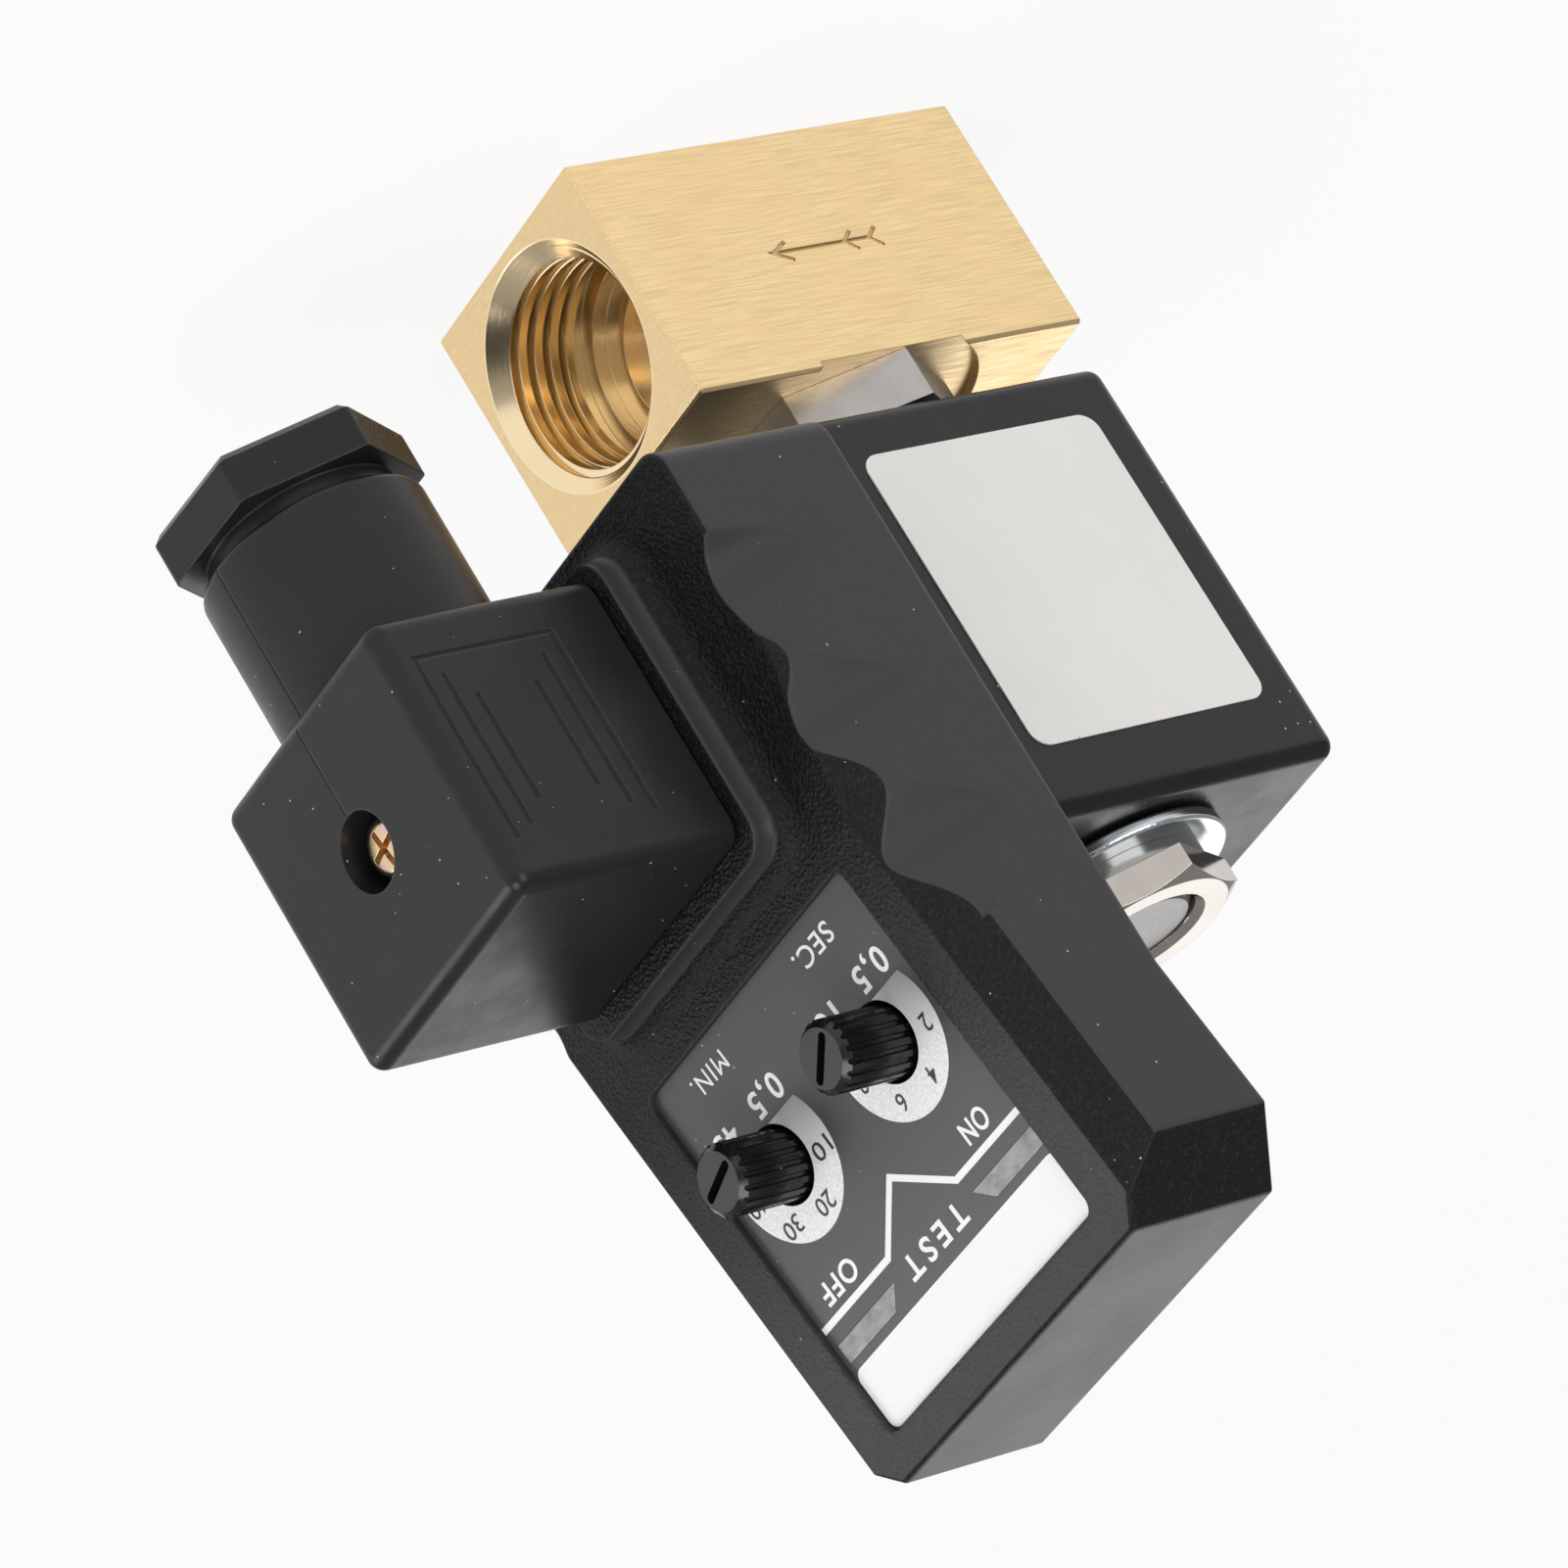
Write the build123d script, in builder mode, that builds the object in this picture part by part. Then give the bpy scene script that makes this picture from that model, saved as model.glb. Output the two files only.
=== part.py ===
from build123d import *
import os
from math import cos, radians, sin, sqrt, tan

# Automatic drain valve: a brass solenoid valve with a plug-in timer and a cable plug.
# X is the flow direction, Z is the axis of the armature, and the brass body's underside is Z = 0.
os.makedirs("parts", exist_ok=True)

LOW = (Align.CENTER, Align.CENTER, Align.MIN)

# Fits
gap = 0.05  # between pieces that are pushed together
swivel_gap = 0.08  # coil bore round the armature tube
slide_gap = 0.08  # plunger in its tube
lift_gap = 0.25  # free play above and below the coil

# Brass body with a G1/2 thread in each end
body_length = 45.0
body_width = 25.0
body_height = 24.8
body_edge = 0.3
thread_major = 20.955 / 2
thread_minor = 18.631 / 2
thread_pitch = 1.814
thread_turns = 4
thread_crest = 0.95
thread_root = 0.3
thread_bite = 0.25  # how far the thread's cutter starts inside the bore
thread_start = 0.3  # depth at which the thread starts in the mouth's slope
thread_run_out = 0.7  # how far the thread runs on into the relief
mouth_radius = 11.1
mouth_depth = 1.6
relief_clearance = 0.15  # from the thread's root out to the relief's wall
relief_length = 1.8
step_radius = 9.1
step_length = 1.6
well_radius = 6.8
well_length = 2.3
spot_radius = 15.0
spot_depth = 0.8
spigot_length = 3.6
seal_pocket_depth = 1.1
seal_pocket_width = 1.25
chamber_radius = 6.3
chamber_depth = 5.8
nozzle_foot = 4.4
nozzle_tip = 2.9
nozzle_height = 3.6
orifice_radius = 2.0
duct_radius = 2.0
inlet_duct_rise = 4.2
outlet_duct_drop = 3.0

# Flow arrow on the side of the brass body
arrow_tip = 6.2
arrow_tail = -5.0
arrow_feather = -2.1
arrow_reach = 1.85
feather_reach = 1.2
arrow_spread = 1.0
arrow_line = 0.35
arrow_depth = 0.2

# Armature tube, core and plunger
hex_margin = 1.75  # body left free on each side of the hexagon
hex_height = 5.0
hex_turn = 22.0
spigot_radius = 8.9
tube_radius = 6.5
tube_bore = 5.3
tube_drop = 2.4  # from the coil's top down to the tube's
core_rise = 16.5  # from the coil's bottom up to the core's face
core_head = 2.0
stud_radius = 6.0
stud_sink = 0.55
stud_chamfer = 0.7
ring_radius = 3.8
ring_width = 0.8
ring_depth = 0.9
lift = 1.8  # travel of the plunger
lift_margin = 0.2
plunger_seal_radius = 3.4
plunger_seal_depth = 2.1
plunger_seal_proud = 0.6
seat_gap = 0.05
plunger_groove = 1.2
spring_pocket_radius = 2.4
spring_pocket_depth = 7.0
spring_radius = 1.8
spring_wire = 0.4
spring_turns = 5.5

# Coil
coil_seal_height = 1.25
coil_height = 42.3
coil_back = -19.0
coil_front = 21.0
coil_width = 29.2
coil_edge = 1.5
spool_radius = 13.0
spool_wall = 1.2
spool_flange = 1.5
frame_thickness = 2.0
frame_width = 22.0
frame_cover = 1.6
frame_front = 14.0
label_length = 27.3
label_height = 30.9
label_left = -14.5
label_rise = 4.9
label_thickness = 0.15
label_corner = 1.8
boss_size = 27.0
boss_height = 2.4
boss_corner = 2.0
gasket_wall = 2.0

# Contacts between coil, timer and plug
contact_rise = 23.9  # from the coil's bottom to the long screw
contact_offset = 9.0
blade_width = 6.3
blade_thickness = 0.8
coil_blade_root = 15.0
coil_blade_tip = 29.6
timer_blade_tip = 55.5
sleeve_wall = 0.8

# Timer housing
module_back = 24.3
module_front = 42.9
module_drop = 18.4  # from the long screw down to the timer's lower end
module_length = 77.0
module_half = 25.0
module_wall = 2.2
lean_length = 20.0
lean_depth = 3.0
plate_tilt = 7.6
plate_x = 41.91
plate_rise = 19.74  # from the long screw up to the sunk panel
frame_border = 4.3
plate_height = 35.6
plate_corner = 1.3
plate_sink = 0.75
film = 0.35
bevel_depth = 3.3
facet_size = 5.5
low_round = 2.5
edge_round = 0.5
cover_thickness = 2.0
platform_lift = 0.25
platform_half_height = 15.15
platform_half = 15.4
platform_height = 3.5
platform_corner = 3.0
cove_radius = 2.5

# Finger grips down both sides of the timer
grip_start = -28.6
grip_pitch = 13.5
grip_drop = 4.3
grip_count = 3
grip_depth = 1.9
grip_crest = 0.15
grip_fade = 7.5
grip_edge = 3.3
grip_wall = 1.7

# Circuit board and what stands on it
board_back = 31.0
board_thickness = 1.6
board_margin = 4.5
board_foot = 5.0
board_head = 6.0
board_corner = 4.0
post_radius = 2.2
post_low_inset = 3.5
post_high_inset = 4.1
post_foot = 3.5
post_head = 3.0
screw_core = 0.95
screw_length = 5.0
small_head_radius = 1.9
small_head_height = 1.0

# Parts of the timing circuit
circuit_rise = 7.6  # from the long screw up to the capacitor
capacitor_width = 12.0
capacitor_height = 5.5
capacitor_depth = 6.5
capacitor_round = 0.6
chip_width = 19.0
chip_height = 6.4
chip_depth = 3.4
chip_edge = 0.4
chip_lift = 1.0
switch_tab_width = 10.0
switch_tab_height = 15.0
switch_tab_depth = 1.3
switch_body_height = 9.0
switch_body_depth = 4.5
switch_lift = 4.0

# Time setting knobs
knob_inset = 8.2  # from the film's side to the knob's axis
knob_rise = 12.56
knob_radius = 3.2
knob_tip = 47.4
knob_chamfer = 0.6
knob_hole = 3.55
flute_count = 18
flute_radius = 0.28
knob_slot_length = 4.6
knob_slot_width = 0.9
knob_slot_depth = 1.1
seconds_turn = 40.0
minutes_turn = 15.0
pot_size = 9.6
pot_height = 4.8
pot_floor = 1.2
rotor_radius = 3.7
rotor_thickness = 1.4
rotor_play = 0.3
neck_radius = 1.5

# Test button and lamps behind the front film
button_rise = 25.26
button_radius = 2.0
button_collar = 2.8
button_collar_thickness = 0.9
button_rest = 35.1
button_film_gap = 0.12
button_guide = 0.12
switch_size = 6.0
switch_height = 1.6
switch_dome_radius = 1.7
switch_dome_height = 0.4
window_low = 26.65
window_high = 28.5
window_length = 9.95
window_slant = 1.95
window_margin = 0.6
lamp_radius = 1.5
lamp_length = 3.6
lamp_well = 5.0

# Cable plug
plug_gap = 0.5
plug_depth = 23.4
plug_half = 14.0
plug_half_height = 13.4
plug_edge = 1.5
plug_wall = 2.4
plug_front_wall = 2.7
seam_width = 0.2
seam_depth = 0.15
screw_radius = 1.45
screw_hole = 1.7
screw_head_radius = 2.75
screw_head_height = 2.0
screw_head_sink = 1.7
screw_well_radius = 3.5
screw_tip = 16.5
insert_radius = 2.6
insert_back = 14.5
block_front = 60.0
sleeve_front = 57.0
terminal_screw_radius = 1.3

# Raised lines on the side of the plug
relief_forward = 1.8
relief_half = 7.3
relief_low_rise = 4.4
relief_high_rise = 22.4
relief_line = 0.4
relief_depth = 0.2
relief_long_half = 5.3
relief_long_low_rise = 6.3
relief_long_high_rise = 21.4
relief_short_half = 3.15
relief_short_low_rise = 8.7
relief_short_high_rise = 19.2

# Cable gland
neck_half = 10.5
neck_length = 15.8
neck_round = 0.9
gland_bore = 8.9
gland_throat = 7.0
gland_stop_drop = 5.0
gland_flats = 20.4
gland_turn = 26.0
gland_reach = 6.6
gland_hex_height = 4.8
gland_spigot = 7.4
cable_radius = 4.6
gland_washer_thickness = 0.6
gland_bevel = 0.8

# Nut and washers on top of the coil
washer_radius = 11.56
washer_bore = 6.3
washer_thickness = 1.3
lock_radius = 8.9
lock_thickness = 1.5
lock_split = 1.2
nut_flats = 18.0
nut_height = 3.1
nut_turn = 30.0
nut_chamfer_radius = 8.9
nut_chamfer_slope = 30.0
nut_mouth = 6.66
nut_mouth_depth = 0.65

# Heights and places worked out from the sizes above
port_height = body_height / 2
spot_floor = body_height - spot_depth
hex_flats = body_width - 2 * hex_margin
spigot_bottom = spot_floor - spigot_length
chamber_top = spigot_bottom - gap
chamber_floor = chamber_top - chamber_depth
nozzle_top = chamber_floor + nozzle_height
thread_end = mouth_depth + thread_turns * thread_pitch
relief_end = thread_end + relief_length
relief_radius = thread_major + relief_clearance
step_end = relief_end + step_length
well_end = step_end + well_length
seal_floor = spot_floor - seal_pocket_depth
seal_pocket_radius = spigot_radius + seal_pocket_width
hex_top = spot_floor + hex_height
coil_bottom = hex_top + coil_seal_height + lift_gap
coil_top = coil_bottom + coil_height
label_low = coil_bottom + label_rise
tube_top = coil_top - tube_drop
core_bottom = coil_bottom + core_rise
coil_bore = tube_radius + swivel_gap
coil_mid = (coil_front + coil_back) / 2
frame_bottom = coil_bottom + frame_cover
spool_bottom = frame_bottom + frame_thickness
frame_top = coil_top - frame_cover
spool_top = frame_top - frame_thickness
frame_back = coil_back + frame_cover
plunger_bottom = nozzle_top + seat_gap + plunger_seal_proud
plunger_top = core_bottom - lift - lift_margin
plunger_radius = tube_bore - slide_gap
washer_bottom = coil_top + lift_gap
lock_bottom = washer_bottom + washer_thickness
nut_bottom = lock_bottom + lock_thickness
nut_top = nut_bottom + nut_height
nut_corner = 1.2 * nut_flats / 2
stud_top = nut_top - stud_sink
contact_height = coil_bottom + contact_rise
module_low = contact_height - module_drop
module_high = module_low + module_length
lean_start = module_high - lean_length
plate_z = contact_height + plate_rise
bevel_half = module_half - bevel_depth
plate_width = 2 * (bevel_half - frame_border)
facet_sum = module_half + module_high - facet_size
platform_low = contact_height + platform_lift - platform_half_height
platform_high = contact_height + platform_lift + platform_half_height
board_half = module_half - board_margin
board_low = module_low + board_foot
board_high = module_high - board_head
post_low = board_low + post_foot
post_high = board_high - post_head
post_low_half = board_half - post_low_inset
post_high_half = board_half - post_high_inset
knob_height = plate_z + knob_rise
knob_spread = plate_width / 2 - knob_inset
button_height = plate_z + button_rise
window_outer = plate_width / 2 - window_margin
window_inner_low = window_outer - window_length
window_inner_high = window_inner_low + window_slant
lamp_offset = (window_outer + window_inner_high) / 2
tilt = radians(plate_tilt)
front_normal = (cos(tilt), 0, sin(tilt))
front_up = (-sin(tilt), 0, cos(tilt))
board_front = board_back + board_thickness
platform_front = module_front + platform_height
plug_back = platform_front + plug_gap
plug_front = plug_back + plug_depth
plug_mid = (plug_back + plug_front) / 2
plug_height = 2 * plug_half_height
plug_mid_z = contact_height
plug_low = contact_height - plug_half_height
neck_end = plug_low - neck_length
gland_end = neck_end - gland_reach
gland_stop = plug_low - gland_stop_drop
relief_mid = plug_mid + relief_forward
relief_low = plug_low + relief_low_rise
relief_high = plug_low + relief_high_rise
relief_long_low = plug_low + relief_long_low_rise
relief_long_high = plug_low + relief_long_high_rise
relief_short_low = plug_low + relief_short_low_rise
relief_short_high = plug_low + relief_short_high_rise
well_floor = plug_front - screw_head_sink - screw_head_height
gland_hex_top = gland_end + gland_hex_height
gland_spigot_top = gland_hex_top + gland_spigot
pot_front = board_front + pot_height
circuit_height = contact_height + circuit_rise

plate_plane = Plane(origin=(plate_x, 0, plate_z), x_dir=(0, 1, 0), z_dir=front_normal)
rim_plane = plate_plane.offset(plate_sink)
back_of_film = plate_plane.offset(-film)
front_view = Plane.YZ
side_view = Plane.XZ


def port_plane(side):
    """Plane with its first axis into the port and its second along the radius."""
    return Plane(origin=(side * body_length / 2, 0, port_height), x_dir=(-side, 0, 0), z_dir=(0, side, 0))


def port_profile():
    """Half section of one threaded port, as depth and radius from its mouth."""
    points = [(0, 0), (0, mouth_radius), (mouth_depth, thread_minor), (thread_end, thread_minor)]
    points += [(thread_end, relief_radius), (relief_end, relief_radius), (relief_end, step_radius)]
    points += [(step_end, step_radius), (step_end, well_radius), (well_end, well_radius), (well_end, 0)]
    return points


def thread_cutter():
    """Groove of the outlet's pipe thread, wound from the mouth's slope into the relief."""
    with BuildPart() as cutter:
        with BuildLine():
            path = Helix(
                thread_pitch,
                thread_end + thread_run_out - thread_start,
                thread_minor,
                center=(body_length / 2 - thread_start, 0, port_height),
                direction=(-1, 0, 0),
            )
        begin = path @ 0
        outward = begin - Vector(begin.X, 0, port_height)
        depth = thread_major - thread_minor
        half_mouth = (thread_pitch - thread_crest) / 2
        half_bite = half_mouth + thread_bite * (half_mouth - thread_root / 2) / depth
        with BuildSketch(Plane(origin=begin, x_dir=outward, z_dir=path % 0)):
            with BuildLine():
                Polyline(
                    (-thread_bite, -half_bite),
                    (depth, -thread_root / 2),
                    (depth, thread_root / 2),
                    (-thread_bite, half_bite),
                    close=True,
                )
            make_face()
        sweep(path=path, is_frenet=True)
    return cutter.part


def rim_x(height, inset):
    """X of the sloping front, moved in by inset, at a height."""
    return plate_x + (plate_sink - inset) / cos(tilt) - (height - plate_z) * tan(tilt)


def module_side(inset, back_reach):
    """Side view of the timer: upright below, sloping at the front above, leaning at the back."""
    front = module_front - inset
    kink = plate_z + (rim_x(plate_z, inset) - front) / tan(tilt)
    low = module_low + inset
    high = module_high - inset
    back = module_back - back_reach
    lean = lean_depth * (high - lean_start) / (module_high - lean_start)
    points = [(back, low), (front, low), (front, kink), (rim_x(high, inset), high)]
    points += [(back - lean, high), (back, lean_start)]
    return points


def module_block(inset, back_reach):
    """The timer's outer form, with every face but the back moved in by inset."""
    with BuildPart() as block:
        with BuildSketch(side_view):
            with BuildLine():
                Polyline(*module_side(inset, back_reach), close=True)
            make_face()
        extrude(amount=module_half - inset, both=True)
        for side in (1, -1):
            corner = facet_sum - sqrt(2) * inset
            far = module_half + 2
            with BuildSketch(front_view):
                with BuildLine():
                    Polyline(
                        (side * far, corner - far),
                        (side * far, module_high + 2),
                        (side * (corner - module_high - 2), module_high + 2),
                        close=True,
                    )
                make_face()
            extrude(amount=2 * module_front, both=True, mode=Mode.SUBTRACT)
            bevel = bevel_half - sqrt(2) * inset
            with BuildSketch(Plane(origin=rim_plane.origin, x_dir=(0, 1, 0), z_dir=(sin(tilt), 0, -cos(tilt)))):
                with BuildLine():
                    Polyline(
                        (side * (bevel - 3), 3),
                        (side * (module_half + 3), 3),
                        (side * (module_half + 3), bevel - module_half - 3),
                        close=True,
                    )
                make_face()
            extrude(amount=module_high, both=True, mode=Mode.SUBTRACT)
    return block.part


def grip_points(side):
    """Wavy front edge of the finger grips, as across and up on the sloping front."""
    reach = module_half - grip_crest - (grip_edge + plate_sink) * grip_depth / grip_fade
    points = [(side * (reach + grip_crest), grip_start)]
    for grip in range(grip_count):
        start = grip_start + grip * grip_pitch
        points.append((side * (reach - grip_depth), start + grip_drop))
        points.append((side * (reach - 0.45 * grip_depth), start + grip_drop + 0.45 * (grip_pitch - grip_drop)))
        points.append((side * reach, start + grip_pitch - 0.5))
    return points


def blade_places(x):
    """Centres and turns of the three flat contacts, seen from the front."""
    two = [Location((x, 0, contact_height + up), (0, 0, 0)) for up in (contact_offset, -contact_offset)]
    earth = Location((x, contact_offset, contact_height), (90, 0, 0))
    return two + [earth]


def window_outline(side, grow):
    """Slanted lamp window in the front film, grown by a clearance."""
    return [
        (side * (window_outer + grow), window_low - grow),
        (side * (window_inner_low - grow), window_low - grow),
        (side * (window_inner_high - grow), window_high + grow),
        (side * (window_outer + grow), window_high + grow),
    ]


# Brass body
with BuildPart() as valve_body:
    Box(body_length, body_width, body_height, align=LOW)
    chamfer(valve_body.edges(), body_edge)
    for side in (1, -1):
        with BuildSketch(port_plane(side)):
            with BuildLine():
                Polyline(*port_profile(), close=True)
            make_face()
        revolve(axis=Axis((0, 0, port_height), (1, 0, 0)), mode=Mode.SUBTRACT)
    for turn in (0, 180):
        add(thread_cutter().rotate(Axis.Z, turn), mode=Mode.SUBTRACT)
    with Locations((0, 0, spot_floor)):
        Cylinder(spot_radius, 2 * spot_depth, align=LOW, mode=Mode.SUBTRACT)
    with Locations((0, 0, seal_floor)):
        Cylinder(seal_pocket_radius, 2 * seal_pocket_depth, align=LOW, mode=Mode.SUBTRACT)
    with Locations((0, 0, chamber_top)):
        Cylinder(spigot_radius + gap, body_height, align=LOW, mode=Mode.SUBTRACT)
    with Locations((0, 0, chamber_floor)):
        Cylinder(chamber_radius, body_height, align=LOW, mode=Mode.SUBTRACT)
        Cone(nozzle_foot, nozzle_tip, nozzle_height, align=LOW)
    with Locations((0, 0, chamber_floor - outlet_duct_drop)):
        Cylinder(orifice_radius, body_height, align=LOW, mode=Mode.SUBTRACT)
    with Locations(Location((0, 0, chamber_floor - outlet_duct_drop), (0, 90, 0))):
        Cylinder(duct_radius, body_length / 2 - step_end, align=LOW, mode=Mode.SUBTRACT)
    inlet_duct_start = -(body_length / 2 - step_end)
    with Locations(Location((inlet_duct_start, 0, port_height + inlet_duct_rise), (0, 90, 0))):
        Cylinder(duct_radius, -inlet_duct_start - nozzle_foot, align=LOW, mode=Mode.SUBTRACT)
    with BuildSketch(Plane(origin=(0, -body_width / 2, port_height), x_dir=(1, 0, 0), z_dir=(0, -1, 0))):
        with BuildLine():
            Line((arrow_tail, 0), (arrow_tip, 0))
            for spread in (arrow_spread, -arrow_spread):
                Line((arrow_tip, 0), (arrow_tip - arrow_reach, spread))
                Line((arrow_feather, 0), (arrow_feather - feather_reach, spread))
                Line((arrow_tail, 0), (arrow_tail - feather_reach, spread))
        trace(line_width=arrow_line)
    extrude(amount=-arrow_depth, mode=Mode.SUBTRACT)
valve_body.part.label = "valve_body"
export_step(valve_body.part, "parts/valve_body.step")

# Seal ring between the body and the armature tube
with BuildPart() as body_seal:
    seal_section = (seal_pocket_depth - 2 * gap) / 2
    with Locations((0, 0, seal_floor + gap + seal_section)):
        Torus(spigot_radius + gap + seal_section, seal_section)
body_seal.part.label = "body_seal"
export_step(body_seal.part, "parts/body_seal.step")

# Armature tube with its hexagon foot
with BuildPart() as armature_tube:
    with Locations((0, 0, spigot_bottom)):
        Cylinder(spigot_radius, spigot_length, align=LOW)
    with BuildSketch(Plane.XY.offset(spot_floor)):
        RegularPolygon(hex_flats / 2, 6, major_radius=False, rotation=hex_turn)
    extrude(amount=hex_height)
    with Locations((0, 0, hex_top)):
        Cylinder(tube_radius, tube_top - hex_top, align=LOW)
    with Locations((0, 0, spigot_bottom)):
        Cylinder(tube_bore, tube_top, align=LOW, mode=Mode.SUBTRACT)
armature_tube.part.label = "armature_tube"
export_step(armature_tube.part, "parts/armature_tube.step")

# Fixed core, closed end of the tube, with the stud that takes the nut
with BuildPart() as fixed_core:
    with Locations((0, 0, core_bottom)):
        Cylinder(tube_bore - gap / 2, tube_top - core_bottom, align=LOW)
    with Locations((0, 0, tube_top)):
        Cylinder(tube_radius, core_head, align=LOW)
    with Locations((0, 0, tube_top + core_head)):
        Cylinder(stud_radius, stud_top - tube_top - core_head, align=LOW)
    chamfer(fixed_core.faces().sort_by(Axis.Z)[-1].edges(), stud_chamfer)
    with BuildSketch(Plane.XY.offset(core_bottom)):
        Circle(ring_radius + gap)
        Circle(ring_radius - ring_width - gap, mode=Mode.SUBTRACT)
    extrude(amount=ring_depth + gap, mode=Mode.SUBTRACT)
fixed_core.part.label = "fixed_core"
export_step(fixed_core.part, "parts/fixed_core.step")

# Copper shading ring in the face of the core
with BuildPart() as shading_ring:
    with BuildSketch(Plane.XY.offset(core_bottom)):
        Circle(ring_radius)
        Circle(ring_radius - ring_width, mode=Mode.SUBTRACT)
    extrude(amount=ring_depth)
shading_ring.part.label = "shading_ring"
export_step(shading_ring.part, "parts/shading_ring.step")

# Plunger that opens the valve
with BuildPart() as plunger:
    with Locations((0, 0, plunger_bottom)):
        Cylinder(plunger_radius, plunger_top - plunger_bottom, align=LOW)
    chamfer(plunger.edges().group_by(Axis.Z)[-1], 2 * slide_gap)
    with Locations((0, 0, plunger_top - spring_pocket_depth)):
        Cylinder(spring_pocket_radius, spring_pocket_depth, align=LOW, mode=Mode.SUBTRACT)
    with Locations((0, 0, plunger_bottom)):
        Cylinder(plunger_seal_radius + gap, plunger_seal_depth, align=LOW, mode=Mode.SUBTRACT)
        with PolarLocations(plunger_radius, 2):
            Box(plunger_groove, plunger_groove, plunger_top, align=LOW, mode=Mode.SUBTRACT)
plunger.part.label = "plunger"
export_step(plunger.part, "parts/plunger.step")

# Soft seal in the plunger's lower end
with BuildPart() as plunger_seal:
    with Locations((0, 0, plunger_bottom - plunger_seal_proud)):
        Cylinder(plunger_seal_radius, plunger_seal_depth + plunger_seal_proud, align=LOW)
plunger_seal.part.label = "plunger_seal"
export_step(plunger_seal.part, "parts/plunger_seal.step")

# Return spring between plunger and core
spring_low = plunger_top - spring_pocket_depth + spring_wire / 2
spring_length = core_bottom - gap - spring_wire / 2 - spring_low
with BuildPart() as return_spring:
    with BuildLine():
        coil_line = Helix(spring_length / spring_turns, spring_length, spring_radius, center=(0, 0, spring_low))
    with BuildSketch(Plane(origin=coil_line @ 0, z_dir=coil_line % 0)):
        Circle(spring_wire / 2)
    sweep(path=coil_line, is_frenet=True)
return_spring.part.label = "return_spring"
export_step(return_spring.part, "parts/return_spring.step")

# Seal ring under the coil
with BuildPart() as coil_seal:
    with BuildSketch(Plane.XY.offset(hex_top)):
        Circle(tube_radius + 3)
        Circle(tube_radius + gap, mode=Mode.SUBTRACT)
    extrude(amount=coil_bottom - lift_gap - hex_top)
coil_seal.part.label = "coil_seal"
export_step(coil_seal.part, "parts/coil_seal.step")

# Flat washer, split lock washer and nut on the stud
with BuildPart() as top_washer:
    with BuildSketch(Plane.XY.offset(washer_bottom)):
        Circle(washer_radius)
        Circle(washer_bore, mode=Mode.SUBTRACT)
    extrude(amount=washer_thickness)
    fillet(top_washer.edges().filter_by(GeomType.CIRCLE).sort_by(SortBy.RADIUS)[-2:], washer_thickness / 4)
top_washer.part.label = "top_washer"
export_step(top_washer.part, "parts/top_washer.step")

with BuildPart() as lock_washer:
    with BuildSketch(Plane.XY.offset(lock_bottom)):
        Circle(lock_radius)
        Circle(washer_bore, mode=Mode.SUBTRACT)
        with Locations((lock_radius, 0)):
            Rectangle(2 * (lock_radius - washer_bore) + 1, lock_split, rotation=20, mode=Mode.SUBTRACT)
    extrude(amount=lock_thickness)
lock_washer.part.label = "lock_washer"
export_step(lock_washer.part, "parts/lock_washer.step")

with BuildPart() as top_nut:
    with BuildSketch(Plane.XY.offset(nut_bottom)):
        RegularPolygon(nut_flats / 2, 6, major_radius=False, rotation=nut_turn)
    extrude(amount=nut_height)
    with BuildSketch(side_view):
        with BuildLine():
            Polyline(
                (0, nut_bottom),
                (nut_corner, nut_bottom),
                (nut_corner, nut_top - (nut_corner - nut_chamfer_radius) * tan(radians(nut_chamfer_slope))),
                (nut_chamfer_radius, nut_top),
                (0, nut_top),
                close=True,
            )
        make_face()
    revolve(axis=Axis.Z, mode=Mode.INTERSECT)
    with Locations((0, 0, nut_bottom)):
        Cylinder(stud_radius + gap, nut_height, align=LOW, mode=Mode.SUBTRACT)
    with Locations((0, 0, nut_top - nut_mouth_depth)):
        Cone(stud_radius + gap, nut_mouth, nut_mouth_depth, align=LOW, mode=Mode.SUBTRACT)
top_nut.part.label = "top_nut"
export_step(top_nut.part, "parts/top_nut.step")

# Steel frame round the winding, open at the front
with BuildPart() as magnet_frame:
    with BuildSketch(side_view):
        with BuildLine():
            Polyline(
                (frame_front, frame_bottom),
                (frame_back, frame_bottom),
                (frame_back, frame_top),
                (frame_front, frame_top),
                (frame_front, spool_top),
                (frame_back + frame_thickness, spool_top),
                (frame_back + frame_thickness, spool_bottom),
                (frame_front, spool_bottom),
                close=True,
            )
        make_face()
    extrude(amount=frame_width / 2, both=True)
    with Locations((0, 0, frame_bottom)):
        Cylinder(coil_bore, coil_height, align=LOW, mode=Mode.SUBTRACT)
magnet_frame.part.label = "magnet_frame"
export_step(magnet_frame.part, "parts/magnet_frame.step")

# Spool and its copper winding
with BuildPart() as coil_spool:
    with Locations((0, 0, spool_bottom), (0, 0, spool_top - spool_flange)):
        Cylinder(spool_radius, spool_flange, align=LOW)
    with Locations((0, 0, spool_bottom)):
        Cylinder(coil_bore + spool_wall, spool_top - spool_bottom, align=LOW)
        Cylinder(coil_bore, spool_top - spool_bottom, align=LOW, mode=Mode.SUBTRACT)
coil_spool.part.label = "coil_spool"
export_step(coil_spool.part, "parts/coil_spool.step")

with BuildPart() as copper_winding:
    with BuildSketch(Plane.XY.offset(spool_bottom + spool_flange)):
        Circle(spool_radius - gap)
        Circle(coil_bore + spool_wall, mode=Mode.SUBTRACT)
    extrude(amount=spool_top - spool_bottom - 2 * spool_flange)
copper_winding.part.label = "copper_winding"
export_step(copper_winding.part, "parts/copper_winding.step")

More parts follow.
